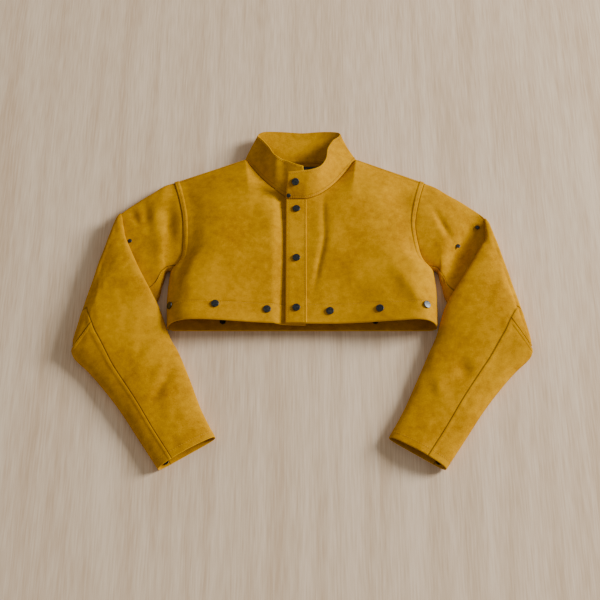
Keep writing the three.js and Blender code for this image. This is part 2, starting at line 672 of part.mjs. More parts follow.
// All sections: the head, the half turn over the crease, and the forearm. turn is the front face's direction.
function sleeveSections(isRight) {
  const rows = headSections.map((row) => ({ ...sectionEdges(row), turn: 90 }));
  const base = sectionEdges(crease);
  const away = awayFrom(base.inner, base.outer);
  for (let k = 0; k <= foldSteps; k += 1) {
    const angle = (Math.PI * k) / foldSteps;
    const shifted = (point, height, radius) => {
      const moved = point.clone().addScaledVector(away, radius * Math.sin(angle));
      return moved.setZ(height - radius * Math.cos(angle));
    };
    rows.push({
      ...base,
      inner: shifted(base.inner, innerFoldHeight, innerFoldRadius),
      outer: shifted(base.outer, outerFoldHeight, outerFoldRadius),
      turn: 90 + (180 * k) / foldSteps,
    });
  }
  for (const row of forearmSections) rows.push({ ...sectionEdges(row), turn: 270 });
  for (const { section, out, down } of isRight ? rightShifts : []) {
    const { inner } = rows[section];
    rows[section].inner = inner.clone().add(new THREE.Vector3(sleeveReach * out, -sleeveDrop * down, 0));
  }
  return rows.map((row, section) => ({
    section,
    front: row.front,
    back: row.back,
    turn: row.turn,
    ...Object.fromEntries(
      ["inner", "outer"].flatMap((edge) => ["x", "y", "z"].map((axis) => [edge + axis, row[edge][axis]])),
    ),
  }));
}

const sleeveRows = { left: sleeveSections(false), right: sleeveSections(true) };
const lastSection = sleeveRows.left.length - 1;
const armholeDecay = 3; // sections over which the armhole's own curve gives way to the sleeve's, at the shoulder
const armpitDecay = 0.9; // and at the armpit

// The turn round a section runs from 0 at the inner edge over the front face to 1 at the outer edge, and on over
// the back face to 2, or from 0 down to -1 over the back face.
const isOnFront = (around) => around >= 0 && around <= 1;

// A point of a sleeve's middle surface before it is joined to the armhole.
function plainSleevePoint(front, section, around) {
  const rows = front.sign > 0 ? sleeveRows.right : sleeveRows.left;
  const read = (column) => readTable(rows, "section", column, section);
  const inner = new THREE.Vector3(read("innerx"), read("innery"), read("innerz"));
  const outer = new THREE.Vector3(read("outerx"), read("outery"), read("outerz"));
  const turned = THREE.MathUtils.degToRad(read("turn"));
  const folded = clamp((read("turn") - 90) / 180);
  const angle = Math.PI * around;
  const isFront = isOnFront(around);
  const swell = isFront ? mix(0.85, 0.4, folded) : mix(0.4, 0.85, folded);
  const height = Math.abs(Math.sin(angle)) ** swell * (isFront ? read("front") : -read("back"));
  const point = outer.clone().lerp(inner, (1 + Math.cos(angle)) / 2);
  const facing = awayFrom(inner, outer).multiplyScalar(Math.cos(turned)).setZ(Math.sin(turned));
  point.addScaledVector(facing, height);
  point.z = Math.max(point.z, wall / 2);
  return point;
}

// The level on the armhole's edge that a turn stands for: the section's edges are spaced by the cosine.
const levelAt = (around) => mix(armpit, 1, (1 + Math.cos(Math.PI * around)) / 2);
const turnAtLevel = (level) => Math.acos(2 * upArmhole(level) - 1) / Math.PI;

// The armhole's edge by the same turn, from the fronts and the back, on the right side.
function armholePoint(front, around) {
  const level = levelAt(around);
  const point = isOnFront(around) ? frontPoint(front, 1, level) : backPoint(front.sign, level);
  point.x = Math.abs(point.x);
  return point;
}

// The armhole's curve gives way to the sleeve's within fewer sections near the armpit.
function sleevePoint(front, section, around) {
  const point = plainSleevePoint(front, section, around);
  const decay = mix(armpitDecay, armholeDecay, (1 + Math.cos(Math.PI * around)) / 2);
  const share = 1 - smooth(section / decay);
  if (share > 0) {
    const shift = armholePoint(front, around).sub(plainSleevePoint(front, 0, around));
    point.addScaledVector(shift, share);
  }
  point.z = Math.max(point.z, wall / 2);
  point.x *= front.sign;
  return point;
}

function sleeveNormal(front, section, around) {
  if (section <= 0) {
    const level = levelAt(around);
    if (around === 0) return seamNormal(front.sign, 1, 1);
    if (around === 1) return seamNormal(front.sign, 1, armpit);
    return isOnFront(around)
      ? surfaceNormal((a, b) => frontPoint(front, a, b), 1, level, upward)
      : surfaceNormal(backPoint, front.sign, level, downward);
  }
  const step = 0.012;
  const along = sleevePoint(front, Math.min(section + 0.1, lastSection), around).sub(
    sleevePoint(front, Math.max(section - 0.1, 0), around),
  );
  const across = sleevePoint(front, section, around + step).sub(sleevePoint(front, section, around - step));
  return along.cross(across).normalize().multiplyScalar(-front.sign);
}

// The turns round a section where its columns lie. At the armhole they are the turns of the body's own rows.
const upperStarts = armholeLevels.slice(underSeamRow).map(turnAtLevel).reverse();
const underStarts = armholeLevels.slice(0, underSeamRow + 1).map(turnAtLevel).reverse();
const seamStart = { section: 0, front: underStarts[0], back: underStarts[0] };
function seamTurn(front, face, section) {
  const rows = front.sign > 0 ? underSeams.right : underSeams.left;
  return readTable([seamStart, ...rows], "section", face, section);
}

function upperTurns(front, section) {
  const widest = upperStarts[upperStarts.length - 1];
  const spread = (turns, end) => turns.map((turn) => (turn * end) / widest);
  const onFront = spread(upperStarts, seamTurn(front, "front", section));
  const onBack = spread(upperStarts.slice(1), seamTurn(front, "back", section)).map((turn) => -turn);
  return [...onBack.reverse(), ...onFront];
}

function underTurns(front, section) {
  const spread = (end) => underStarts.map((turn) => 1 - ((1 - turn) * (1 - end)) / (1 - underStarts[0]));
  const onFront = spread(seamTurn(front, "front", section));
  const onBack = spread(seamTurn(front, "back", section)).map((turn) => 2 - turn);
  return [...onFront, ...onBack.reverse().slice(1)];
}

function makeSleevePiece(name, front, sections, turnsAt, gaps) {
  const onTurns = (at) => sections.map((section) => turnsAt(front, section).map((turn) => at(front, section, turn)));
  const points = onTurns(sleevePoint);
  const normals = onTurns(sleeveNormal);
  addMesh(name, wallGeometry(trimmed(points, gaps), normals, -wall / 2, wall / 2), hide);
}

const sectionRange = (from, to) => Array.from({ length: to - from + 1 }, (_, k) => from + k);
function withHalves(sections, upTo) {
  return sections.flatMap((section) => (section < upTo ? [section, section + 0.5] : [section]));
}

function makeSleeve(side, front) {
  const all = withHalves(sectionRange(0, lastSection), 2);
  const aboveCrease = all.filter((section) => section <= creaseSection);
  const belowCrease = all.filter((section) => section >= creaseSection);
  const upperArm = all.filter((section) => section <= elbowSection);
  const forearm = all.filter((section) => section >= elbowSection);
  const gap = halfGap + 0.05;
  const elbow = elbowGap / 2;
  makeSleevePiece(`upper_sleeve_${side}`, front, aboveCrease, upperTurns, { first: gap, last: gap, start: gap, end: gap });
  makeSleevePiece(`lower_sleeve_${side}`, front, belowCrease, upperTurns, { first: gap, start: gap, end: gap });
  makeSleevePiece(`under_sleeve_${side}`, front, upperArm, underTurns, { first: gap, last: elbow, start: gap, end: gap });
  makeSleevePiece(`forearm_panel_${side}`, front, forearm, underTurns, { first: elbow, start: gap, end: gap });
}

// The neck label, on the inside of the back below the neck seam.
function makeLabel() {
  const middle = backHalfShares.length;
  const shares = backShares.slice(middle - labelStations, middle + labelStations + 1);
  const levels = bodyLevels.slice(-1 - labelRows, -1);
  const points = levels.map((level) => shares.map((share) => backPoint(share, level)));
  const normals = levels.map((level) => shares.map((share) => surfaceNormal(backPoint, share, level, upward)));
  const seat = wall / 2 + layGap;
  addMesh("neck_label", wallGeometry(points, normals, seat, seat + labelWall), cloth);
}

// A round metal piece with a domed rim and a flat middle, standing on a disc at the origin.
function roundGeometry(radius, height) {
  const profile = [
    [radius * 0.97, 0],
    [radius, height * 0.45],
    [radius * 0.86, height * 0.86],
    [radius * 0.55, height],
  ];
  const positions = [0, 0, 0];
  for (const [r, z] of profile) {
    for (let k = 0; k < roundSides; k += 1) {
      const angle = (2 * Math.PI * k) / roundSides;
      positions.push(r * Math.cos(angle), r * Math.sin(angle), z);
    }
  }
  const index = [];
  const at = (ring, k) => 1 + ring * roundSides + (k % roundSides);
  const top = profile.length - 1;
  for (let k = 0; k < roundSides; k += 1) {
    index.push(0, at(0, k + 1), at(0, k));
    for (let ring = 0; ring < top; ring += 1) {
      index.push(at(ring, k), at(ring, k + 1), at(ring + 1, k + 1), at(ring, k), at(ring + 1, k + 1), at(ring + 1, k));
    }
    if (k > 0 && k < roundSides - 1) index.push(at(top, 0), at(top, k), at(top, k + 1));
  }
  const geometry = new THREE.BufferGeometry();
  geometry.setAttribute("position", new THREE.Float32BufferAttribute(positions, 3));
  geometry.setIndex(index);
  geometry.computeVertexNormals();
  return geometry;
}

// Seats a round piece on a wall's face, lifted until its whole disc clears the curve below it.
function addRound(name, size, pointAt, normalAt, [a, b], clearance) {
  const point = pointAt(a, b);
  const normal = normalAt(a, b);
  const scaleA = pointAt(a + 0.01, b).distanceTo(point) / 0.01;
  const scaleB = pointAt(a, b + 0.01).distanceTo(point) / 0.01;
  let rise = 0;
  for (let k = 0; k < 24; k += 1) {
    const angle = (2 * Math.PI * k) / 24;
    const near = pointAt(a + (size.radius * Math.cos(angle)) / scaleA, b + (size.radius * Math.sin(angle)) / scaleB);
    rise = Math.max(rise, near.sub(point).dot(normal));
  }
  const geometry = roundGeometry(size.radius, size.height);
  geometry.applyQuaternion(new THREE.Quaternion().setFromUnitVectors(upward, normal));
  const seat = point.clone().addScaledVector(normal, clearance + rise);
  geometry.translate(seat.x, seat.y, seat.z);
  addMesh(name, geometry, darkSteel);
}

const snap = { radius: snapRadius, height: snapHeight };
const socket = { radius: socketRadius, height: socketHeight };
const rivet = { radius: rivetRadius, height: rivetHeight };

// The share and level of a front at a distance across from the centre and a height up from the hem.
function placeOnFront(front, across, y) {
  let [share, level] = [0.5, y / shoulderLevel];
  for (let k = 0; k < 8; k += 1) {
    share = shareAt(front, across, level);
    const topAcross = mix(-front.past, halfSpan, share);
    level = y / topEdge(Math.max(topAcross, 0), true);
  }
  return [share, level];
}

function addFrontSnap(name, front, across, y, clearance) {
  const pointAt = (a, b) => frontPoint(front, a, b);
  const normalAt = (a, b) => surfaceNormal(pointAt, a, b, upward);
  addRound(name, snap, pointAt, normalAt, placeOnFront(front, across, y), clearance);
}

function addSleeveRound(name, size, front, place, inside) {
  const pointAt = (a, b) => sleevePoint(front, a, b);
  const normalAt = (a, b) => sleeveNormal(front, a, b).multiplyScalar(inside ? -1 : 1);
  addRound(name, size, pointAt, normalAt, place, wall / 2 + rivetGap);
}

function makeMetal() {
  const onHide = wall / 2 + layGap;
  const onStrip = wall / 2 + stripGap + stripWall + layGap;
  placketSnaps.forEach((up, k) => {
    const across = placketMargin + placketWidth / 2 - overlap;
    addFrontSnap(`placket_snap_${k + 1}`, fronts.right, across, up * (neckLevel - frontNeckDepth), onStrip);
  });
  for (const [side, rows] of Object.entries(hemSnaps)) {
    rows.forEach(({ across, up }, k) => {
      addFrontSnap(`hem_snap_${side}_${k + 1}`, fronts[side], across * halfChest, up * shoulderLevel, onHide);
    });
  }
  backHemSnaps.forEach(({ across, up }, k) => {
    const normalAt = (a, b) => surfaceNormal(backPoint, a, b, upward);
    addRound(`back_hem_snap_${k + 1}`, socket, backPoint, normalAt, [across, up], onHide);
  });
  const side = sidesOfCollar.right;
  const collarAt = (turn, rise) => collarPoint(side.front, side.lean, turn, rise);
  const collarFace = (turn, rise) => collarNormal(side, turn, rise);
  const onCollar = collarWall / 2 + layGap;
  addRound("collar_snap", snap, collarAt, collarFace, [collarSnap.turn, collarSnap.rise], onCollar);
  addRound("collar_stud", rivet, collarAt, collarFace, [collarStud.turn, collarStud.rise], onCollar);
  sleeveRivets.forEach(({ name, side: hand, section, around }) => {
    addSleeveRound(name, rivet, fronts[hand], [section, around], false);
  });
  for (const hand of ["left", "right"]) {
    addSleeveRound(`cuff_snap_${hand}`, socket, fronts[hand], [lastSection - cuffSnap.before, cuffSnap.around], true);
  }
}

makeBack();
makeFront("front_left", sidesOfCollar.left);
makeFront("front_right", sidesOfCollar.right);
makePlacket();
makeCollar();
makeSleeve("left", fronts.left);
makeSleeve("right", fronts.right);
makeLabel();
makeMetal();

// The origin lies on the floor, under the middle of the whole.
const bounds = new THREE.Box3().setFromObject(part);
const middle = bounds.getCenter(new THREE.Vector3());
part.children.forEach((mesh) => mesh.geometry.translate(-middle.x, -middle.y, -bounds.min.z));

export default part;
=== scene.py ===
"""A cropped leather welding cape with long sleeves, laid on its back on a pale oak board.

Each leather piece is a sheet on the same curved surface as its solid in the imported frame, in finer steps and
with its seams, welts, hem turns, folds and stitches. Lengths are millimetres in the garment's own frame: +X
to the viewer's right, +Y from the hem towards the collar, +Z up. The hem lies on y = 0 there.
"""
import logging
import math
from dataclasses import dataclass, field
from enum import Enum
from typing import Callable

import bpy
import numpy as np
from mathutils import Matrix, Vector


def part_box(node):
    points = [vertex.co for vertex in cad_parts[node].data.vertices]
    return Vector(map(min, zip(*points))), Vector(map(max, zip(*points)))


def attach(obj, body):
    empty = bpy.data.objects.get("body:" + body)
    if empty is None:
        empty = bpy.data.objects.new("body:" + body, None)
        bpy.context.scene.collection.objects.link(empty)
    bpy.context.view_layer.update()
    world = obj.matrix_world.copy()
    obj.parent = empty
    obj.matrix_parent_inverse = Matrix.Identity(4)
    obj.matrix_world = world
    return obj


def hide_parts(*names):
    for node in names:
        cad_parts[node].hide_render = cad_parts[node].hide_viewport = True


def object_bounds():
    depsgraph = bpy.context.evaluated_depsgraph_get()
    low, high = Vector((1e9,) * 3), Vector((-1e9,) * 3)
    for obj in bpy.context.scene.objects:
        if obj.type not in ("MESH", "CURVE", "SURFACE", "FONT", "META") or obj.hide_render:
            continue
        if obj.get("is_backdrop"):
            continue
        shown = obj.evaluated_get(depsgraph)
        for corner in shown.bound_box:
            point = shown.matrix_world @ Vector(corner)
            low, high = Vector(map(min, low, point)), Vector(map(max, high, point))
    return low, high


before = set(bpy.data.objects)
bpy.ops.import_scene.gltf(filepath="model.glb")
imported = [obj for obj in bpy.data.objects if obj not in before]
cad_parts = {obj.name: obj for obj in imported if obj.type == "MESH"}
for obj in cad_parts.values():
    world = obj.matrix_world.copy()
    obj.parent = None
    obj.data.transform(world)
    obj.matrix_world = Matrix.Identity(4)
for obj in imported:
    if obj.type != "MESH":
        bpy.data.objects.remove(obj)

CAD_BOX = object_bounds()
HEM_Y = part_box("back_panel")[0].y
METRES = 0.001

Array = np.ndarray
PointAt = Callable[[Array, Array], Array]
log = logging.getLogger("welding_cape")


# Small sums used by every piece


def clamp(value: Array, low: float = 0.0, high: float = 1.0) -> Array:
    """Keep a value between two limits."""
    return np.clip(value, low, high)


def between(a: Array, b: Array, share: Array) -> Array:
    """Go from a to b by a share."""
    return a + (b - a) * share


def ease(value: Array) -> Array:
    """Rise smoothly from 0 to 1 while the value does."""
    t = clamp(value)
    return t * t * (3 - 2 * t)


def quarter_round(value: Array) -> Array:
    """Follow a quarter round: flat at 0, and steep where it reaches 1."""
    return 1 - np.sqrt(np.maximum(1 - clamp(value) ** 2, 0))


def unit(vectors: Array) -> Array:
    """Give vectors the length 1."""
    return vectors / np.maximum(np.linalg.norm(vectors, axis=-1, keepdims=True), 1e-12)


def lean_towards(a: Array, b: Array, share: Array) -> Array:
    """Turn the directions a towards b by a share of the way."""
    return unit(between(a, b, np.asarray(share)[..., None]))


def curve_through(keys: Array, values: Array, at: Array) -> Array:
    """Read a smooth curve through the rows of a table.

    Args:
        keys: the rows' places, rising.
        values: one value a row, or one array a row with the shape of at.
        at: where the curve is read.

    Returns:
        The curve's values, in the shape of at.
    """
    keys, values, at = (np.asarray(x, float) for x in (keys, values, at))
    if values.ndim == 1:
        values = np.broadcast_to(values.reshape(-1, *([1] * at.ndim)), (len(keys), *at.shape))
    rows = np.arange(len(keys))
    before, after = np.maximum(rows - 1, 0), np.minimum(rows + 1, rows[-1])
    rise = (keys[after] - keys[before]).reshape(-1, *([1] * at.ndim))
    slopes = (values[after] - values[before]) / rise
    at_row = np.searchsorted(keys[1:-1], at, side="left")
    span = keys[at_row + 1] - keys[at_row]
    t = clamp((at - keys[at_row]) / span)

    def row(table: Array, shift: int) -> Array:
        """Take each place's own row of a table."""
        return np.take_along_axis(table, (at_row + shift)[None], axis=0)[0]

    return (
        row(values, 0) * (1 + 2 * t) * (1 - t) ** 2
        + row(slopes, 0) * span * t * (1 - t) ** 2
        + row(values, 1) * t * t * (3 - 2 * t)
        + row(slopes, 1) * span * t * t * (t - 1)
    )


def soft_waves(x: Array, y: Array, size: float, seed: int) -> Array:
    """Make a smooth uneven field, from about -1 to 1.

    Args:
        x: places in millimetres.
        y: places in millimetres.
        size: the distance between humps.
        seed: picks the field, the same one on every run.

    Returns:
        The field's values.
    """
    lattice = np.random.default_rng(seed).uniform(-1, 1, (64, 64))
    i, j = np.floor(x / size).astype(int), np.floor(y / size).astype(int)
    u, v = ease(x / size - i), ease(y / size - j)
    corner = lambda a, b: lattice[(i + a) % 64, (j + b) % 64]
    return between(between(corner(0, 0), corner(1, 0), u), between(corner(0, 1), corner(1, 1), u), v)


def steps_between(breaks: list[float], spacing: float, fine: float = 1.0, fringe: float = 5.0) -> Array:
    """Divide a length into steps that are finer beside its first and last break.

    Args:
        breaks: places that the steps have to meet, rising, in millimetres.
        spacing: the step's length away from the ends.
        fine: the step's length beside the ends.
        fringe: how far from each end the fine steps reach.

    Returns:
        The places of all steps, the breaks among them.
    """
    first, last = breaks[0], breaks[-1]
    inner = [x for x in breaks[1:-1] if first + fringe < x < last - fringe]
    rims = [first, first + fringe, *inner, last - fringe, last]
    places = [first]
    for k, (a, b) in enumerate(zip(rims, rims[1:])):
        step = fine if k in (0, len(rims) - 2) else spacing
        count = max(1, round((b - a) / step))
        places.extend(a + (b - a) * n / count for n in range(1, count + 1))
    return np.array(places)


def outward_normals(point_at: PointAt, a: Array, b: Array, outward: Array, step: float = 0.012) -> Array:
    """Find a surface's normals by differences.

    Args:
        point_at: the surface.
        a: places across.
        b: places up.
        outward: a direction on the side that the normals point to.
        step: how far apart the compared points lie.

    Returns:
        One normal for each place.
    """
    along = point_at(np.minimum(a + step, 1), b) - point_at(a - step, b)
    up = point_at(a, np.minimum(b + step, 1)) - point_at(a, np.maximum(b - step, 0))
    normals = unit(np.cross(along, up))
    return np.where((normals @ outward)[..., None] < 0, -normals, normals)


UP = np.array([0.0, 0.0, 1.0])
DOWN = -UP


# The garment's surfaces


class Hand(Enum):
    """The viewer's left and right."""

    LEFT = "left"
    RIGHT = "right"

    @property
    def sign(self) -> int:
        """The direction of this side along X."""
        return -1 if self is Hand.LEFT else 1


@dataclass(frozen=True)
class Fold:
    """A fold or dent of a panel.

    Its place and size are shares of the body's own sizes, its turn is in degrees from upright, and its height
    is a share of the body's loft.
    """

    across: float
    level: float
    length: float
    width: float
    turn: float
    height: float


@dataclass(frozen=True)
class FrontShape:
    """How one front lies: how far it runs past the centre, its heights and its folds.

    heights has a row for each level: the level, and the height at the centre, inner, bulge and outer places.
    """

    hand: Hand
    past: float
    sinks: bool
    heights: tuple[tuple[float, ...], ...]
    folds: tuple[Fold, ...]
    collar_lean: tuple[tuple[float, ...], ...]


LEFT_FRONT = FrontShape(
    hand=Hand.LEFT,
    past=8,
    sinks=True,
    heights=(
        (0, 0.64, 0.74, 1.0, 1.02),
        (0.2, 0.72, 0.86, 1.03, 0.98),
        (0.45, 0.84, 0.98, 1.0, 0.86),
        (0.72, 0.9, 1.0, 0.92, 0.76),
        (1, 0.92, 0.84, 0.66, 0.5),
    ),
    folds=(
        Fold(0.91, 0.345, 0.12, 0.035, -19, -0.12),
        Fold(0.42, 0.62, 0.2, 0.09, -18, -0.05),
    ),
    collar_lean=(
        (0, 0, 1.06, 0.07),
        (30, -0.19, 1.09, 0.08),
        (50, -0.15, 1.03, 0.13),
        (90, -0.43, 0.76, 0.18),
        (125, -0.42, 0.78, 0.27),
        (150, -0.08, 1.01, 0.31),
        (170, 0.05, 1.14, 0.37),
        (200, 0.1, 0.86, 0.4),
    ),
)
RIGHT_FRONT = FrontShape(
    hand=Hand.RIGHT,
    past=34,
    sinks=False,
    heights=(
        (0, 0.66, 0.66, 0.9, 1.08),
        (0.2, 0.74, 0.82, 0.98, 1.02),
        (0.45, 0.84, 0.98, 1.0, 0.88),
        (0.72, 0.9, 1.0, 0.9, 0.74),
        (1, 0.92, 0.84, 0.64, 0.48),
    ),
    folds=(
        Fold(0.165, 0.68, 0.16, 0.02, 0, -0.05),
        Fold(0.135, 0.4, 0.16, 0.018, 11, -0.06),
        Fold(0.76, 0.84, 0.09, 0.08, 20, -0.11),
        Fold(0.82, 0.19, 0.2, 0.045, -31, 0.08),
    ),
    collar_lean=(
        (0, 0, 1.06, 0.07),
        (30, -0.19, 1.09, 0.08),
        (55, -0.23, 0.97, 0.17),
        (90, -0.63, 0.66, 0.27),
        (125, -0.57, 0.72, 0.32),
        (150, -0.12, 0.82, 0.36),
        (170, 0.17, 0.8, 0.45),
        (200, 0.04, 0.63, 0.52),
    ),
)


@dataclass(frozen=True)
class Body:
    """The body's cut and how it lies: the surfaces of its fronts, its back and its collar."""

    wall: float = 1.6
    chest_width: float = 554
    shoulder_span: float = 546
    shoulder_level: float = 354
    armpit_level: float = 136
    shoulder_swing: float = 6
    neck_width: float = 243
    neck_level: float = 411
    back_neck_rise: float = 2
    front_neck_depth: float = 121
    loft: float = 56
    edge_height: float = 13
    armhole_height: float = 37
    neck_end_height: float = 18
    front_neck_height: float = 50
    back_neck_height: float = 9
    overlap: float = 34
    underlap: float = 8
    valley_width: float = 30
    valley_depth: float = 8
    collar_height: float = 70
    collar_bow: float = 2.5
    outline: tuple[tuple[float, float], ...] = (
        (0, 1.0),
        (0.2, 1.01),
        (0.36, 0.995),
        (0.384, 0.98),
        (0.43, 0.925),
        (0.52, 0.897),
        (0.68, 0.892),
        (0.84, 0.93),
        (1, 0.9857),
    )
    front_places: tuple[float, ...] = (0, 0.3, 0.68, 0.92)

    @property
    def half_chest(self) -> float:
        """Half the chest's width."""
        return self.chest_width / 2

    @property
    def half_span(self) -> float:
        """Half the way from shoulder tip to shoulder tip."""
        return self.shoulder_span / 2

    @property
    def half_neck(self) -> float:
        """Half the way between the shoulder seams' neck ends."""
        return self.neck_width / 2

    @property
    def armpit(self) -> float:
        """The armpit's place on the outer edge, 0 at the hem and 1 at the shoulder tip."""
        return self.armpit_level / self.shoulder_level

    def outer_edge(self, level: Array, sign: Array) -> Array:
        """Give the half width at a level, on the side with a sign."""
        keys, halves = zip(*self.outline)
        swing = self.shoulder_swing * ease((level - self.armpit) / 0.3)
        return self.half_chest * curve_through(keys, halves, level) - sign * swing

    def top_edge(self, across: Array, is_front: bool) -> Array:
        """Give the top edge's level in millimetres, by distance from the centre."""
        from_neck = clamp((across - self.half_neck) / (self.half_span - self.half_neck))
        shoulder = between(self.neck_level, self.shoulder_level, from_neck)
        in_neck = clamp(across / self.half_neck)
        if is_front:
            neck = self.neck_level - self.front_neck_depth * (1 - in_neck**1.85)
        else:
            neck = self.neck_level + self.back_neck_rise * np.cos(in_neck * math.pi / 2)
        return np.where(across >= self.half_neck, shoulder, neck)

    def top_edge_height(self, across: Array, is_front: bool) -> Array:
        """Give the top edge's height over the floor, by distance from the centre."""
        from_neck = clamp((across - self.half_neck) / (self.half_span - self.half_neck))
        shoulder = between(self.neck_end_height, self.edge_height, from_neck)
        centre = self.front_neck_height if is_front else self.back_neck_height
        neck = between(centre, self.neck_end_height, clamp(across / self.half_neck) ** 2)
        return np.where(across >= self.half_neck, shoulder, neck)

    def up_armhole(self, level: Array) -> Array:
        """Give how far up the armhole a level is, from 0 at the armpit to 1 at the shoulder tip."""
        return clamp((level - self.armpit) / (1 - self.armpit))

    def fold_height(self, folds: tuple[Fold, ...], across: Array, y: Array) -> Array:
        """Add up the heights of the folds at a place.

        Args:
            folds: the panel's folds.
            across: distance from the centre.
            y: distance up from the hem.

        Returns:
            The height that they add, in millimetres.
        """
        total = np.zeros(np.broadcast(across, y).shape)
        for fold in folds:
            turn = math.radians(fold.turn)
            dx = (across - fold.across * self.half_chest) / self.shoulder_level
            dy = y / self.shoulder_level - fold.level
            along = dy * math.cos(turn) + dx * math.sin(turn)
            side = dx * math.cos(turn) - dy * math.sin(turn)
            total += fold.height * np.exp(-((along / fold.length) ** 2) - (side / fold.width) ** 2)
        return total * self.loft

    def front_share(self, front: FrontShape, across: Array, level: Array) -> Array:
        """Give the share of a front at a distance from the centre."""
        narrowing = self.half_span / self.outer_edge(level, front.hand.sign)
        top_across = np.where(across > 0, across * narrowing, across)
        return (top_across + front.past) / (self.half_span + front.past)

    def front_point(self, front: FrontShape, share: Array, level: Array) -> Array:
        """Give a point of a front's middle surface.

        Args:
            front: which front.
            share: from its centre edge, 0, to its outer edge, 1.
            level: from the hem, 0, to the top, 1.

        Returns:
            The point, in millimetres.
        """
        share, level = np.broadcast_arrays(np.asarray(share, float), np.asarray(level, float))
        sign = front.hand.sign
        edge = self.outer_edge(level, sign)
        top_across = between(-front.past, self.half_span, share)
        across = np.where(top_across > 0, top_across * edge / self.half_span, top_across)
        from_top = np.where(np.abs(top_across) < self.underlap, 0, np.maximum(top_across, 0))
        y = level * self.top_edge(from_top, True)
        from_centre = clamp(across / edge)
        rows = np.array(front.heights)
        places = np.stack([curve_through(rows[:, 0], rows[:, k], level) for k in range(1, rows.shape[1])])
        z = self.loft * curve_through(self.front_places, places, from_centre)
        z = z + self.fold_height(front.folds, across, y)
        near_top = quarter_round((level - 0.78) / 0.22)
        z = between(z, self.top_edge_height(np.maximum(top_across, 0), True), near_top)
        up = self.up_armhole(level)
        rise = np.maximum(np.sin(math.pi * up), 0) ** 0.7
        side_height = self.edge_height + (self.armhole_height - self.edge_height) * rise
        near_side = clamp((from_centre - 0.8) / 0.2)
        is_open = ease(up / 0.15) * ease((1 - up) / 0.15)
        side = between(quarter_round(near_side), near_side**2, is_open) * (1 - near_top)
        z = between(z, side_height, side)
        if front.sinks:
            z = z - self.valley_depth * (1 - ease((across - self.overlap) / self.valley_width))
        return np.stack([sign * across, y, z], axis=-1)

    def back_point(self, share: Array, level: Array) -> Array:
        """Give a point of the back's middle surface, share from -1 at the left edge to 1 at the right one."""
        share, level = np.broadcast_arrays(np.asarray(share, float), np.asarray(level, float))
        from_centre = np.abs(share)
        top_across = from_centre * self.half_span
        y = level * self.top_edge(top_across, False)
        up = self.up_armhole(level)
        open_rise = np.maximum(np.sin(math.pi * up), 0) ** 0.5
        side_height = between(self.edge_height, self.wall, open_rise)
        near_top = quarter_round((level - 0.93) / 0.07)
        near_side = quarter_round((from_centre - 0.92) / 0.08)
        z = between(self.wall / 2, side_height, near_side * (1 - near_top))
        z = between(z, self.top_edge_height(top_across, False), near_top)
        return np.stack([share * self.outer_edge(level, np.sign(share)), y, z], axis=-1)

    def seam_normals(self, sign: int, share: Array, level: Array) -> Array:
        """Give the level normals of the line where a front and the back meet.

        Args:
            sign: the side.
            share: place along the shoulder, where the level is 1.
            level: place along the side, where the share is 1.

        Returns:
            One normal for each place.
        """
        share, level = np.broadcast_arrays(np.asarray(share, float), np.asarray(level, float))
        at_top = level >= 1
        step = 0.01
        top = self.back_point(sign * clamp(share + step), 1) - self.back_point(sign * clamp(share - step), 1)
        side = self.back_point(sign, clamp(level + step)) - self.back_point(sign, clamp(level - step))
        tangent = np.where(at_top[..., None], top, side)
        normals = unit(np.stack([tangent[..., 1], -tangent[..., 0], np.zeros(share.shape)], axis=-1))
        away = normals[..., 0] * sign + normals[..., 1] * np.where(at_top, 4, 0)
        normals = np.where(away[..., None] < 0, -normals, normals)
        at_armpit = (share >= 1) & (np.abs(level - self.armpit) < 1e-9)
        return np.where(at_armpit[..., None], unit(np.array([sign, -1.0, 0.0])), normals)

    def turn_at(self, across: Array, is_front: bool) -> Array:
        """Give the turn round the neck, in degrees from the back's centre, at a distance from the centre."""
        turn = np.degrees(np.arcsin(clamp(across / self.half_neck, -1, 1)))
        return 180 - turn if is_front else turn

    def neck_seam(self, front: FrontShape, turn: Array) -> Array:
        """Give the neck seam's point at a turn."""
        across = self.half_neck * np.sin(np.radians(turn))
        share = (across + front.past) / (self.half_span + front.past)
        on_front = self.front_point(front, share, 1)
        on_back = self.back_point(front.hand.sign * across / self.half_span, 1)
        return np.where((turn > 90)[..., None], on_front, on_back)

    def collar_point(self, front: FrontShape, turn: Array, rise: Array) -> Array:
        """Give a point of the collar's middle surface.

        Args:
            front: the side that it stands on.
            turn: degrees round the neck from the back's centre.
            rise: from the neck seam, 0, to the top edge, 1.

        Returns:
            The point, in millimetres.
        """
        turn, rise = np.broadcast_arrays(np.asarray(turn, float), np.asarray(rise, float))
        lean = np.array(front.collar_lean)
        reach = np.stack([curve_through(lean[:, 0], lean[:, k], turn) for k in (1, 2, 3)], axis=-1)
        reach = reach * self.collar_height * np.array([front.hand.sign, 1, 1])
        bow = self.collar_bow * 4 * rise * (1 - rise) * ease((turn - 30) / 60)
        frontward = ease((turn - 90) / 60)[..., None]
        sideways = front.hand.sign * np.sin(np.radians(turn))[..., None] * np.array([1.0, 0.0, 0.0])
        bulge = sideways * (1 - frontward) + np.array([0, -0.4, 0.9]) * frontward
        return self.neck_seam(front, turn) + reach * rise[..., None] + bulge * bow[..., None]

    def collar_normals(self, front: FrontShape, turn: Array, rise: Array) -> Array:
        """Give the collar's outward normals."""
        turn, rise = np.broadcast_arrays(np.asarray(turn, float), np.asarray(rise, float))
        step = 0.8
        ahead = self.collar_point(front, turn + step, rise)
        along = ahead - self.collar_point(front, np.maximum(turn - step, 0), rise)
        above = self.collar_point(front, turn, np.minimum(rise + 0.02, 1))
        up = above - self.collar_point(front, turn, np.maximum(rise - 0.02, 0))
        return unit(np.cross(along, up)) * -front.hand.sign

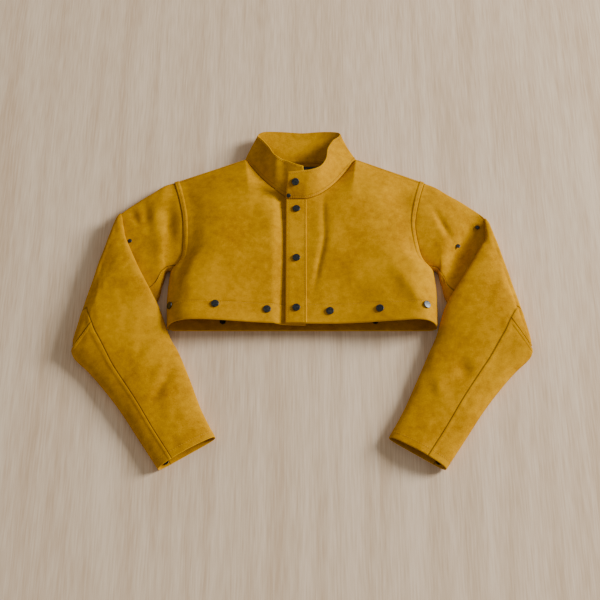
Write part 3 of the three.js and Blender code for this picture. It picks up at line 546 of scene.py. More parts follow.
    def neck_normals(self, front: FrontShape, turn: Array) -> Array:
        """Give the normals that the collar and the body share along the neck seam."""
        turn = np.asarray(turn, float)
        across = self.half_neck * np.sin(np.radians(turn))
        share = (across + front.past) / (self.half_span + front.past)
        level = np.full(turn.shape, 0.995)
        on_front = outward_normals(lambda a, b: self.front_point(front, a, b), share, level, UP)
        on_back = outward_normals(self.back_point, front.hand.sign * across / self.half_span, level, DOWN)
        body = np.where((turn > 90)[..., None], on_front, on_back)
        end = self.seam_normals(front.hand.sign, self.half_neck / self.half_span, 1.0)
        body = np.where((np.abs(turn - 90) < 1e-6)[..., None], end, body)
        return unit(body + self.collar_normals(front, turn, 0.0))


@dataclass(frozen=True)
class SleeveShape:
    """A sleeve's sections from the armhole to the cuff, as shares of its reach, drop and folded loft.

    A row holds the inner edge's x, y and z, the outer edge's, and how far the front and back faces stand off
    the line between them.
    """

    body: Body
    front: FrontShape
    reach: float = 190
    drop: float = 659
    set_off: float = 1.6
    fold_loft: float = 36
    inner_fold_height: float = 25
    outer_fold_height: float = 20
    fold_radius: float = 4
    fold_steps: int = 4
    corner_draw: float = 8
    corner_section: float = 6.5
    corner_length: float = 2
    corner_turn: float = 0.12
    shoulder_decay: float = 3
    armpit_decay: float = 0.9
    head: tuple[tuple[float, ...], ...] = (
        (0, 0, 0.36, 0, 0, 0.36, 0.64, 0.34),
        (0.126, 0.015, 0.36, 0.076, 0.007, 0.35, 0.66, 0.33),
        (0.237, 0.036, 0.35, 0.113, 0.075, 0.33, 0.6, 0.31),
        (0.43, 0.075, 0.38, 0.245, 0.206, 0.3, 0.42, 0.27),
        (0.6, 0.122, 0.56, 0.976, 0.383, 0.43, 0.09, 0.4),
    )
    crease: tuple[float, ...] = (0.612, 0.134, 0, 1, 0.392, 0, 0.07, 0.14)
    forearm: tuple[tuple[float, ...], ...] = (
        (0.572, 0.211, 0.8, 1.004, 0.396, 0.67, 0.07, 0.3),
        (0.5, 0.259, 0.9, 1.01, 0.404, 0.66, 0.1, 0.36),
        (0.353, 0.343, 1.0, 1.02, 0.418, 0.62, 0.14, 0.4),
        (0.216, 0.419, 0.94, 1.022, 0.446, 0.54, 0.16, 0.46),
        (0.11, 0.48, 0.74, 0.982, 0.472, 0.38, 0.24, 0.58),
        (-0.01, 0.569, 0.44, 0.85, 0.524, 0.33, 0.36, 0.62),
        (-0.118, 0.625, 0.36, 0.7, 0.596, 0.33, 0.36, 0.6),
        (-0.25, 0.716, 0.33, 0.482, 0.716, 0.33, 0.36, 0.56),
        (-0.38, 0.813, 0.33, 0.26, 0.859, 0.33, 0.36, 0.5),
        (-0.534, 0.901, 0.34, 0.04, 1.0, 0.34, 0.36, 0.5),
    )
    under_seams: tuple[tuple[float, float, float], ...] = (
        (1, 0.89, 0.82),
        (2, 0.79, 0.78),
        (3, 0.74, 0.75),
        (6, 0.7, 0.7),
        (12, 0.7, 0.64),
        (14, 0.7, 0.63),
        (16, 0.7, 0.675),
        (19, 0.7, 0.67),
    )
    under_seam_start: float = 0.05
    shifts: tuple[tuple[int, float, float], ...] = ()
    head_folds: tuple[Fold, ...] = ()
    strip_folds: tuple[Fold, ...] = ()
    rows: Array = field(init=False, repr=False, compare=False)

    def __post_init__(self) -> None:
        """Work out the table of sections: both edges, both faces and the turn of each."""
        object.__setattr__(self, "rows", self._sections())

    @property
    def elbow(self) -> int:
        """The section along which the elbow seam runs."""
        return len(self.head) + 1 + self.fold_steps + 2

    @property
    def last(self) -> int:
        """The cuff's section."""
        return len(self.head) + 1 + self.fold_steps + len(self.forearm) - 1

    def _edges(self, row: tuple[float, ...]) -> Array:
        """Turn one row of shares into millimetres: both edges and both faces."""
        body = self.body
        outer_drop = self.drop - (body.shoulder_level - body.armpit_level)
        side = float(body.outer_edge(np.array(body.armpit), 0))
        beside_body = float(ease((row[1] - self.crease[1]) / 0.25))
        start = between(body.half_span, side + self.set_off, beside_body)
        inner = [start + self.reach * row[0], body.shoulder_level - self.drop * row[1]]
        outer = [side + self.reach * row[3], body.armpit_level - outer_drop * row[4]]
        heights = self.fold_loft * np.array([row[2], row[5], row[6], row[7]])
        return np.array([*inner, heights[0], *outer, heights[1], heights[2], heights[3]])

    def _sections(self) -> Array:
        """List all sections: the head, the half turn over the crease, and the forearm.

        Returns:
            A row for each section: both edges, both faces and the turn of the front face in degrees.
        """
        rows = [[*self._edges(row), 90] for row in self.head]
        base = self._edges(self.crease)
        line = base[:3] - base[3:6]
        away = unit(np.array([line[1], -line[0], 0.0]))
        for k in range(self.fold_steps + 1):
            angle = math.pi * k / self.fold_steps
            edges = []
            for edge, height in ((base[:3], self.inner_fold_height), (base[3:6], self.outer_fold_height)):
                moved = edge + away * self.fold_radius * math.sin(angle)
                moved[2] = height - self.fold_radius * math.cos(angle)
                edges.extend(moved)
            rows.append([*edges, base[6], base[7], 90 + 180 * k / self.fold_steps])
        rows.extend([*self._edges(row), 270] for row in self.forearm)
        for section, out, down in self.shifts:
            rows[section][0] += self.reach * out
            rows[section][1] -= self.drop * down
        return np.array(rows)

    def _read(self, columns: slice | int, section: Array) -> Array:
        """Read one column of the sections' table, or three as a point."""
        keys = np.arange(len(self.rows))
        if isinstance(columns, int):
            return curve_through(keys, self.rows[:, columns], section)
        chosen = range(columns.start, columns.stop)
        return np.stack([curve_through(keys, self.rows[:, k], section) for k in chosen], axis=-1)

    def _plain_point(self, section: Array, around: Array) -> Array:
        """Give a point of the sleeve before it is joined to the armhole."""
        inner, outer = self._read(slice(0, 3), section), self._read(slice(3, 6), section)
        turn = self._read(8, section)
        turned, folded = np.radians(turn), clamp((turn - 90) / 180)
        is_front = (around >= 0) & (around <= 1)
        swell = np.where(is_front, between(0.85, 0.4, folded), between(0.4, 0.85, folded))
        face = np.where(is_front, self._read(6, section), -self._read(7, section))
        height = np.abs(np.sin(math.pi * around)) ** swell * face
        point = between(outer, inner, ((1 + np.cos(math.pi * around)) / 2)[..., None])
        line = inner - outer
        away = unit(np.stack([line[..., 1], -line[..., 0], np.zeros(turn.shape)], axis=-1))
        facing = away * np.cos(turned)[..., None]
        facing[..., 2] = np.sin(turned)
        point = point + facing * height[..., None]
        from_corner = (section - self.corner_section) / self.corner_length
        near_corner = np.exp(-(from_corner**2) - (around / self.corner_turn) ** 2)
        point = point - unit(line) * (self.corner_draw * near_corner)[..., None]
        point[..., 2] = np.maximum(point[..., 2], self.body.wall / 2)
        return point

    def level_at(self, around: Array) -> Array:
        """Give the armhole's level that a turn round the section stands for."""
        return between(self.body.armpit, 1, (1 + np.cos(math.pi * around)) / 2)

    def _armhole_point(self, around: Array) -> Array:
        """Give the armhole's edge by the same turn, on the right side."""
        level = self.level_at(around)
        is_front = (around >= 0) & (around <= 1)
        on_front = self.body.front_point(self.front, 1, level)
        on_back = self.body.back_point(self.front.hand.sign, level)
        point = np.where(is_front[..., None], on_front, on_back)
        point[..., 0] = np.abs(point[..., 0])
        return point

    def point(self, section: Array, around: Array) -> Array:
        """Give a point of the sleeve's middle surface.

        Args:
            section: place along the sleeve, by the number of its section.
            around: turn round the section, from 0 at the inner edge over the front face to 1 at the outer
                edge, and on over the back face to 2, or from 0 down to -1 over the back face.

        Returns:
            The point, in millimetres.
        """
        section, around = np.broadcast_arrays(np.asarray(section, float), np.asarray(around, float))
        point = self._plain_point(section, around)
        decay = between(self.armpit_decay, self.shoulder_decay, (1 + np.cos(math.pi * around)) / 2)
        share = (1 - ease(section / decay))[..., None]
        to_armhole = self._armhole_point(around) - self._plain_point(np.zeros_like(section), around)
        point = point + to_armhole * share
        point[..., 2] = np.maximum(point[..., 2], self.body.wall / 2)
        return point * np.array([self.front.hand.sign, 1, 1])

    def _armhole_normals(self, around: Array) -> Array:
        """Give the normals that the sleeve shares with the body at the armhole."""
        sign, level = self.front.hand.sign, self.level_at(around)
        full = np.ones_like(level)
        on_front = outward_normals(lambda a, b: self.body.front_point(self.front, a, b), full, level, UP)
        on_back = outward_normals(self.body.back_point, sign * full, level, DOWN)
        is_front = (around >= 0) & (around <= 1)
        normals = np.where(is_front[..., None], on_front, on_back)
        at_tip = (np.abs(around) < 1e-9)[..., None]
        at_armpit = (np.abs(around - 1) < 1e-9)[..., None]
        normals = np.where(at_tip, self.body.seam_normals(sign, 1.0, 1.0), normals)
        return np.where(at_armpit, self.body.seam_normals(sign, 1.0, self.body.armpit), normals)

    def normals(self, section: Array, around: Array) -> Array:
        """Give the sleeve's outward normals."""
        section, around = np.broadcast_arrays(np.asarray(section, float), np.asarray(around, float))
        step = 0.012
        ahead = self.point(np.minimum(section + 0.1, self.last), around)
        along = ahead - self.point(np.maximum(section - 0.1, 0), around)
        across = self.point(section, around + step) - self.point(section, around - step)
        free = unit(np.cross(along, across)) * -self.front.hand.sign
        return lean_towards(self._armhole_normals(around), free, ease(section / 0.2))

    def seam_turn(self, face: int, section: Array) -> Array:
        """Give the turn at which the under sleeve's seam lies, on the front face, 1, or the back one, 2."""
        start = math.acos(2 * self.under_seam_start - 1) / math.pi
        rows = np.array([(0, start, start), *self.under_seams])
        return curve_through(rows[:, 0], rows[:, face], section)

    def rise(self, section: Array, point: Array, normals: Array) -> Array:
        """Give how far the soft dents and folds lift the upper side along its normals.

        Args:
            section: place along the sleeve.
            point: the surface's points.
            normals: its outward normals.

        Returns:
            The lift, in millimetres.
        """
        across, y = np.abs(point[..., 0]), point[..., 1]
        head = self.body.fold_height(self.head_folds, across, y) * ease((4.6 - section) / 1.2)
        strip = self.body.fold_height(self.strip_folds, across, y) * ease((section - 8) / 1.5)
        seed = 41 if self.front.hand is Hand.LEFT else 57
        waves = 1.3 * soft_waves(across, y + 30 * section, 47, seed)
        waves = waves + 0.5 * soft_waves(across, y + 30 * section, 19, seed + 1)
        facing_up = ease((normals[..., 2] - 0.1) / 0.6)
        return (head + strip + waves) * facing_up * ease(section / 0.35)


BODY = Body()
LEFT_SLEEVE = SleeveShape(
    body=BODY,
    front=LEFT_FRONT,
    shifts=((9, -0.015, 0), (10, -0.028, 0), (11, -0.018, 0)),
    head_folds=(
        Fold(1.02, 0.665, 0.13, 0.046, 3, -0.18),
        Fold(1.2, 0.74, 0.08, 0.032, 10, -0.08),
        Fold(1.29, 0.73, 0.06, 0.026, 30, -0.06),
    ),
    strip_folds=(
        Fold(1.01, -0.38, 0.09, 0.03, -27, -0.08),
        Fold(1.1, -0.16, 0.1, 0.04, -30, 0.04),
    ),
)
RIGHT_SLEEVE = SleeveShape(
    body=BODY,
    front=RIGHT_FRONT,
    shifts=(
        (1, 0, 0.005),
        (2, 0, 0.011),
        (3, 0, 0.013),
        (4, 0.004, 0.013),
        (5, 0.006, 0.017),
        (6, 0.006, 0.017),
        (7, 0.006, 0.017),
        (8, 0.006, 0.017),
        (9, 0.006, 0.017),
        (10, 0.04, 0.013),
        (11, 0.045, 0.003),
        (12, 0.037, 0),
        (13, 0.014, 0),
        (15, 0.02, 0),
        (16, 0.04, 0),
        (17, 0.034, 0),
        (18, 0.012, 0),
    ),
    under_seams=(
        (1, 0.91, 0.82),
        (2, 0.835, 0.78),
        (3, 0.76, 0.75),
        (6, 0.7, 0.7),
        (12, 0.7, 0.605),
        (14, 0.7, 0.6),
        (16, 0.7, 0.615),
        (19, 0.7, 0.61),
    ),
    head_folds=(
        Fold(1.083, 0.667, 0.11, 0.022, -26, -0.1),
        Fold(1.215, 0.49, 0.19, 0.058, 29, -0.38),
    ),
    strip_folds=(
        Fold(1.17, -0.286, 0.06, 0.05, 0, -0.1),
        Fold(0.98, -0.39, 0.06, 0.03, 0, 0.05),
    ),
)


# Sheets of hide


@dataclass
class HideSheet:
    """A piece of hide as a closed wall with rounded edges, on a grid of middle points.

    above and below are how far its outer and inner faces lie from the middle. marks are the values between
    0 and 1 that its finish reads at each point, such as how worn it is or how much painted shade darkens
    its grooves, and marked_inside says whether the inner face has them too.
    """

    name: str
    points: Array
    normals: Array
    above: Array
    below: Array
    marks: dict[str, Array] = field(default_factory=dict)
    marked_inside: bool = True
    soft: float = 0.24

    def trim(self, first: float = 0, last: float = 0, start: float = 0, end: float = 0) -> None:
        """Draw the edges back along the surface, so that two pieces leave a gap at their seam.

        Args:
            first: how far the first row is drawn back, in millimetres.
            last: the same for the last row.
            start: the same for the first column.
            end: the same for the last column.
        """
        drawn = self.points.copy()
        if first:
            drawn[0] += unit(self.points[1] - self.points[0]) * first
        if last:
            drawn[-1] += unit(self.points[-2] - self.points[-1]) * last
        if start:
            drawn[:, 0] += unit(self.points[:, 1] - self.points[:, 0]) * start
        if end:
            drawn[:, -1] += unit(self.points[:, -2] - self.points[:, -1]) * end
        self.points = drawn

    def flat_size(self) -> tuple[float, float]:
        """Give the width and length of the cut piece before it was sewn, in metres."""
        width = np.linalg.norm(np.diff(self.points, axis=1), axis=-1).sum(axis=1).max()
        length = np.linalg.norm(np.diff(self.points, axis=0), axis=-1).sum(axis=0).max()
        return float(width * METRES), float(length * METRES)

    def flat_area(self) -> float:
        """Give the cut piece's area, in square metres."""
        a, b = self.points[:-1, :-1], self.points[1:, 1:]
        c, d = self.points[:-1, 1:], self.points[1:, :-1]
        return float(np.linalg.norm(np.cross(b - a, d - c), axis=-1).sum() / 2 * METRES**2)

    def build(self) -> bpy.types.Object:
        """Make the closed mesh.

        Returns:
            The new object, at the origin, with its marks as attributes.
        """
        rows, columns = self.points.shape[:2]
        thick = self.above - self.below
        rim_rows, rim_columns = self._rim(rows, columns)
        soften = np.zeros((rows, columns))
        soften[rim_rows, rim_columns] = self.soft
        top = self.points + self.normals * (self.above - soften * thick)[..., None]
        bottom = self.points + self.normals * (self.below + soften * thick)[..., None]
        inside_rows = np.clip(rim_rows, 1, rows - 2)
        inside_columns = np.clip(rim_columns, 1, columns - 2)
        outward = unit(self.points[rim_rows, rim_columns] - self.points[inside_rows, inside_columns])
        middle = (top[rim_rows, rim_columns] + bottom[rim_rows, rim_columns]) / 2
        ring = middle + outward * (self.soft * thick[rim_rows, rim_columns])[:, None] * 0.8
        vertices = np.concatenate([top.reshape(-1, 3), bottom.reshape(-1, 3), ring])
        faces = self._faces(rows, columns, rim_rows * columns + rim_columns)
        if self._volume(vertices, faces) < 0:
            faces = faces[:, ::-1]
        mesh = bpy.data.meshes.new(self.name)
        mesh.from_pydata(to_frame(vertices).tolist(), [], faces.tolist())
        mesh.polygons.foreach_set("use_smooth", np.ones(len(mesh.polygons), bool))
        rim = np.zeros((rows, columns))
        rim[rim_rows, rim_columns] = 0.6
        for mark, values in {"rim": rim, **self.marks}.items():
            flat = np.asarray(values, float).ravel()
            around = np.ones(len(ring)) if mark == "rim" else flat[rim_rows * columns + rim_columns]
            layer = mesh.attributes.new(mark, "FLOAT", "POINT")
            inside = flat if mark == "rim" or self.marked_inside else 0 * flat
            layer.data.foreach_set("value", np.concatenate([flat, inside, around]).astype(np.float32))
        piece = bpy.data.objects.new(self.name, mesh)
        bpy.context.scene.collection.objects.link(piece)
        return piece

    @staticmethod
    def _rim(rows: int, columns: int) -> tuple[Array, Array]:
        """List the grid's outer points in order, once round."""
        up, across = np.arange(rows), np.arange(columns)
        rim_rows = np.concatenate([0 * across[:-1], up[:-1], 0 * across[1:] + rows - 1, up[:0:-1]])
        rim_columns = np.concatenate([across[:-1], 0 * up[:-1] + columns - 1, across[:0:-1], 0 * up[1:]])
        return rim_rows, rim_columns

    @staticmethod
    def _faces(rows: int, columns: int, rim: Array) -> Array:
        """List the quads of both faces and of the rounded edge."""
        grid = np.arange(rows * columns).reshape(rows, columns)
        a, b, c, d = grid[:-1, :-1], grid[:-1, 1:], grid[1:, 1:], grid[1:, :-1]
        top = np.stack([a, b, c, d], axis=-1).reshape(-1, 4)
        bottom = top[:, ::-1] + rows * columns
        ring = 2 * rows * columns + np.arange(len(rim))
        ahead, ring_ahead = np.roll(rim, -1), np.roll(ring, -1)
        upper = np.stack([ahead, rim, ring, ring_ahead], axis=-1)
        lower = np.stack([ring_ahead, ring, rim + rows * columns, ahead + rows * columns], axis=-1)
        return np.concatenate([top, bottom, upper, lower])

    @staticmethod
    def _volume(vertices: Array, faces: Array) -> float:
        """Give the signed volume, which is negative where the faces point inwards."""
        a, b, c, d = (vertices[faces[:, k]] for k in range(4))
        return float((a * np.cross(b, c)).sum() + (a * np.cross(c, d)).sum())


def to_frame(points: Array) -> Array:
    """Turn garment millimetres into the frame's metres."""
    return points * METRES + np.array([0.0, HEM_Y, 0.0])


@dataclass(frozen=True)
class Topstitch:
    """A row of lockstitches in heavy thread.

    The thread is drawn a little thicker and its stitches a little longer than the real 0.8 and 3.5 mm ones,
    which wouldn't show at the picture's two millimetres a pixel.
    """

    pitch: float = 4.8
    length: float = 3.7
    radius: float = 0.4
    sides: int = 6

    def build(self, name: str, runs: list[tuple[Array, Array]]) -> bpy.types.Object:
        """Sew stitches along lines on the surface.

        Args:
            name: the piece's name.
            runs: for each line its points and the surface's normals there, in garment millimetres.

        Returns:
            The stitches as one object.
        """
        pieces, faces, count = [], [], 0
        for points, normals in runs:
            stitches = self._shape(*self._places(points, normals))
            pieces.append(stitches.reshape(-1, 3))
            faces.extend(self._faces(len(stitches), count))
            count += stitches.shape[0] * stitches.shape[1] * stitches.shape[2]
        mesh = bpy.data.meshes.new(name)
        mesh.from_pydata(to_frame(np.concatenate(pieces)).tolist(), [], faces)
        mesh.polygons.foreach_set("use_smooth", np.ones(len(mesh.polygons), bool))
        piece = bpy.data.objects.new(name, mesh)
        bpy.context.scene.collection.objects.link(piece)
        return piece

    def _places(self, points: Array, normals: Array) -> tuple[Array, Array, Array]:
        """Space the stitches evenly along a line: their middles, directions and normals."""
        lengths = np.linalg.norm(np.diff(points, axis=0), axis=-1)
        run = np.concatenate([[0], np.cumsum(lengths)])
        count = max(1, int(run[-1] / self.pitch))
        places = (np.arange(count) + 0.5) * run[-1] / count

        def read(values: Array, at: Array) -> Array:
            """Read each axis at places along the line."""
            return np.stack([np.interp(at, run, values[:, k]) for k in range(3)], axis=-1)

        ahead, behind = read(points, places + 1), read(points, places - 1)
        return read(points, places), unit(ahead - behind), unit(read(normals, places))

    def _shape(self, middles: Array, along: Array, normals: Array) -> Array:
        """Make each stitch: a short bowed thread that dips into the hide at both ends."""
        side = unit(np.cross(normals, along))
        reach = np.array([-1, -0.72, 0.0, 0.72, 1])
        lift = np.array([-0.7, 0.1, 0.35, 0.1, -0.7]) * self.radius
        thick = np.array([0.45, 0.95, 1.0, 0.95, 0.45]) * self.radius
        angles = 2 * math.pi * np.arange(self.sides) / self.sides
        core = middles[:, None] + along[:, None] * (reach * self.length / 2)[None, :, None]
        core = core + normals[:, None] * lift[None, :, None]
        sideways = side[:, None, None] * (np.cos(angles)[None, None] * thick[None, :, None])[..., None]
        upwards = normals[:, None, None] * (np.sin(angles)[None, None] * thick[None, :, None])[..., None]
        return core[:, :, None] + sideways + upwards

    def _faces(self, stitches: int, start: int) -> list[list[int]]:
        """List the faces of all stitches of a run."""
        faces = []
        ring = self.sides
        for s in range(stitches):
            base = start + s * 5 * ring
            for level in range(4):
                low = base + level * ring
                for k in range(ring):
                    n = (k + 1) % ring
                    faces.append([low + k, low + n, low + ring + n, low + ring + k])
            faces.append([base + k for k in reversed(range(ring))])
            faces.append([base + 4 * ring + k for k in range(ring)])
        return faces


# Finishes


def linear(colour: str) -> tuple[float, float, float, float]:
    """Turn an sRGB hex value into the linear colour that a shader reads.

    Args:
        colour: such as "#c8960c".

    Returns:
        Red, green, blue and alpha.
    """
    parts = [int(colour[k : k + 2], 16) / 255 for k in (1, 3, 5)]
    curve = [p / 12.92 if p <= 0.04045 else ((p + 0.055) / 1.055) ** 2.4 for p in parts]
    return (*curve, 1.0)


class ShaderTree:
    """A new material and its nodes, with short calls for the ones that every finish uses."""

    def __init__(self, name: str) -> None:
        """Start the material with an empty tree."""
        self.material = bpy.data.materials.new(name)
        self.material.use_nodes = True
        self.material.node_tree.nodes.clear()
        self.place = self.add("ShaderNodeTexCoord").outputs["Object"]

    def add(self, kind: str, inputs: dict | None = None, **settings: object) -> bpy.types.Node:
        """Add a node with its settings, values and links.

        Args:
            kind: the node's type.
            inputs: by socket name or number, a value, or the output socket that is linked to it.
            settings: the node's own properties.

        Returns:
            The node.
        """
        tree = self.material.node_tree
        node = tree.nodes.new(kind)
        for key, value in settings.items():
            setattr(node, key, value)
        for key, value in (inputs or {}).items():
            if isinstance(value, bpy.types.NodeSocket):
                tree.links.new(value, node.inputs[key])
            else:
                node.inputs[key].default_value = value
        return node

    def noise(self, size_mm: float, values: dict) -> bpy.types.NodeSocket:
        """Add a cloudy pattern with patches of a size in millimetres."""
        inputs = {"Vector": self.place, "Scale": 1000 / size_mm, **values}
        return self.add("ShaderNodeTexNoise", inputs).outputs["Fac"]

    def sum(self, first: object, second: object, operation: str = "ADD") -> bpy.types.NodeSocket:
        """Add two values up, or multiply them."""
        return self.add("ShaderNodeMath", {0: first, 1: second}, operation=operation).outputs[0]

    def spread(self, value: bpy.types.NodeSocket, limits: dict) -> bpy.types.NodeSocket:
        """Spread a value from one pair of limits to another."""
        return self.add("ShaderNodeMapRange", {"Value": value, **limits}).outputs["Result"]

    def mix(self, share: object, first: object, second: object) -> bpy.types.NodeSocket:
        """Mix two colours by a share."""
        node = self.add("ShaderNodeMix", {0: share, 6: first, 7: second}, data_type="RGBA")
        return node.outputs[2]

    def mark(self, name: str, most: float) -> bpy.types.NodeSocket:
        """Read one of the piece's marks, at most as strong as given."""
        value = self.add("ShaderNodeAttribute", attribute_name=name).outputs["Fac"]
        return self.sum(value, most, "MULTIPLY")

    def bump(self, height: bpy.types.NodeSocket, strength: float, distance: float) -> bpy.types.NodeSocket:
        """Raise a fine relief, with its height in metres."""
        inputs = {"Strength": strength, "Distance": distance, "Height": height}
        return self.add("ShaderNodeBump", inputs).outputs["Normal"]

    def finish(self, values: dict) -> bpy.types.Material:
        """Add the shader with its values, and hand over the material."""
        shader = self.add("ShaderNodeBsdfPrincipled", values)
        self.add("ShaderNodeOutputMaterial", {"Surface": shader.outputs[0]})
        return self.material


@dataclass(frozen=True)
class SplitCowhide:
    """Split cowhide, drum dyed and brushed: a dull, saturated golden hide with a short nap.

    The nap scatters light, so there is no gloss, and edges seen at a slant look slightly paler. The dye takes
    unevenly, which leaves cloudy patches a few centimetres wide, and cut or rubbed edges show paler fibre.
    """

    dyed: str = "#dba300"
    deep: str = "#a16d00"
    cut_edge: str = "#e4b42c"
    # groove: painted shade, the dark colour laid into seam, hem and stitch grooves where shade falls.
    groove: str = "#5e3a00"
    nap_sheen: str = "#f0b010"
    roughness: float = 0.95
    sheen: float = 0.05
    cloud_mm: float = 74
    blotch_mm: float = 13
    nap_mm: float = 1.6

    def material(self) -> bpy.types.Material:
        """Make the material."""
        tree = ShaderTree("split_cowhide_golden")
        cloud = tree.noise(self.cloud_mm, {"Detail": 4, "Roughness": 0.45})
        blotch = tree.noise(self.blotch_mm, {"Detail": 4, "Roughness": 0.6})
        nap = tree.noise(self.nap_mm, {"Detail": 3, "Roughness": 0.65})
        tone = tree.spread(tree.sum(tree.sum(cloud, blotch), nap), {"From Min": 1.05, "From Max": 1.95})
        base = tree.mix(tone, linear(self.deep), linear(self.dyed))
        # Painted shade: the groove mark darkens the seam, hem and stitch lines towards the groove colour.
        base = tree.mix(tree.mark("groove", 0.85), base, linear(self.groove))
        base = tree.mix(tree.mark("rim", 0.7), base, linear(self.cut_edge))
        fibre = tree.sum(tree.sum(blotch, 0.35, "MULTIPLY"), nap)
        return tree.finish(
            {
                "Base Color": base,
                "Roughness": self.roughness,
                "IOR": 1.45,
                "Specular IOR Level": 0.03,
                "Sheen Weight": self.sheen,
                "Sheen Roughness": 0.5,
                "Sheen Tint": linear(self.nap_sheen),
                "Normal": tree.bump(fibre, 0.55, 0.0006),
            }
        )


@dataclass(frozen=True)
class BondedThread:
    """Bonded polyester thread, as golden as the hide but smoother, so that it catches a little more light."""

    colour: str = "#cf9a10"
    roughness: float = 0.6
    ply_mm: float = 1.1

    def material(self) -> bpy.types.Material:
        """Make the material."""
        tree = ShaderTree("bonded_thread_golden")
        relief = tree.bump(tree.noise(self.ply_mm, {"Detail": 1}), 0.4, 0.0002)
        values = {"Base Color": linear(self.colour), "Roughness": self.roughness}
        return tree.finish({**values, "Sheen Weight": 0.1, "Normal": relief})


@dataclass(frozen=True)
class DamaskLabel:
    """Woven polyester label tape, near black, with a fine rib across it and a dull lustre."""

    colour: str = "#191a1c"
    rib: str = "#2b2d30"
    roughness: float = 0.6
    rib_mm: float = 1.4

    def material(self) -> bpy.types.Material:
        """Make the material."""
        tree = ShaderTree("woven_label_black")
        values = {"Vector": tree.place, "Scale": 1000 / self.rib_mm / 2 / math.pi, "Distortion": 0.2}
        rib = tree.add("ShaderNodeTexWave", values, bands_direction="Y").outputs["Fac"]
        colour = tree.mix(rib, linear(self.colour), linear(self.rib))
        values = {"Base Color": colour, "Roughness": self.roughness, "Sheen Weight": 0.2}
        return tree.finish({**values, "Normal": tree.bump(rib, 0.5, 0.0002)})


@dataclass(frozen=True)
class GunmetalBrass:
    """Pressed brass with a gunmetal plate: dark, with a soft highlight and fine rubbing marks."""

    plate: str = "#3c4043"
    rubbed: str = "#5f6568"
    roughness: float = 0.34
    rub_mm: float = 3.0

    def material(self) -> bpy.types.Material:
        """Make the material."""
        tree = ShaderTree("gunmetal_plated_brass")
        rub = tree.noise(self.rub_mm, {"Detail": 4})
        worn = tree.spread(rub, {"From Min": 0.45, "From Max": 0.8})
        colour = tree.mix(worn, linear(self.plate), linear(self.rubbed))
        rough = tree.spread(rub, {"To Min": self.roughness - 0.06, "To Max": self.roughness + 0.12})
        return tree.finish({"Base Color": colour, "Metallic": 0.9, "Roughness": rough})


@dataclass(frozen=True)
class OakBoard:
    """A pale, oiled oak board: fine pores and broader bands of grain that run away from the camera."""

    pale: str = "#f3dfc5"
    grain: str = "#d8bfa0"
    roughness: float = 0.75
    pore_mm: float = 3.2
    band_mm: float = 34
    stretch: float = 0.045

    def material(self) -> bpy.types.Material:
        """Make the material."""
        tree = ShaderTree("oak_board_pale")
        streaky = {"Vector": tree.place, "Scale": (1.0, self.stretch, 1.0)}
        tree.place = tree.add("ShaderNodeMapping", streaky).outputs[0]
        pores = tree.noise(self.pore_mm, {"Detail": 3, "Distortion": 0})
        bands = tree.noise(self.band_mm, {"Detail": 4, "Distortion": 0.6})
        tone = tree.spread(tree.sum(pores, bands), {"From Min": 0.75, "From Max": 1.25})
        colour = tree.mix(tone, linear(self.grain), linear(self.pale))
        return tree.finish({"Base Color": colour, "Roughness": self.roughness, "Specular IOR Level": 0.15})


class Slot(Enum):
    """The record's finishes that a piece can take."""

    HIDE = "hide"
    LABEL = "label"
    METAL = "snap_metal"


@dataclass(frozen=True)
class Finishes:
    """The garment's materials, made once."""

    hide: bpy.types.Material
    thread: bpy.types.Material
    label: bpy.types.Material
    metal: bpy.types.Material

    @classmethod
    def make(cls) -> "Finishes":
        """Make all of them."""
        return cls(
            hide=SplitCowhide().material(),
            thread=BondedThread().material(),
            label=DamaskLabel().material(),
            metal=GunmetalBrass().material(),
        )


def dress(piece: bpy.types.Object, material: bpy.types.Material) -> bpy.types.Object:
    """Give a piece its material and its body.

    Args:
        piece: the new piece.
        material: what it is made of.

    Returns:
        The same piece.
    """
    piece.data.materials.clear()
    piece.data.materials.append(material)
    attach(piece, "root")
    log.info("%s: %d faces", piece.name, len(piece.data.polygons))
    return piece


def lay(sheet: HideSheet, nodes: list[str], finishes: Finishes) -> bpy.types.Object:
    """Build a sheet of hide in the place of its solids.

    Args:
        sheet: the sheet.
        nodes: the frame's nodes that it stands for.
        finishes: the garment's materials.

    Returns:
        The new piece.
    """
    piece = dress(sheet.build(), finishes.hide)
    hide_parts(*nodes)
    width, length = sheet.flat_size()
    area = min(sheet.flat_area(), width * length)
    return piece


def sew(name: str, runs: list[tuple[Array, Array]], finishes: Finishes) -> bpy.types.Object:
    """Sew a piece's rows of topstitching."""
    return dress(Topstitch().build(name, runs), finishes.thread)


# The body's panels


def groove_at(distance: Array, width: float = 1.3) -> Array:
    """Give a narrow groove's depth, 1 on its line."""
    return np.exp(-((distance / width) ** 2))


def raised_band(distance: Array, width: float, slope: float = 2.0) -> Array:
    """Give the rise of a band that runs along an edge, 1 on the band."""
    return 1 - ease((distance - width) / slope)


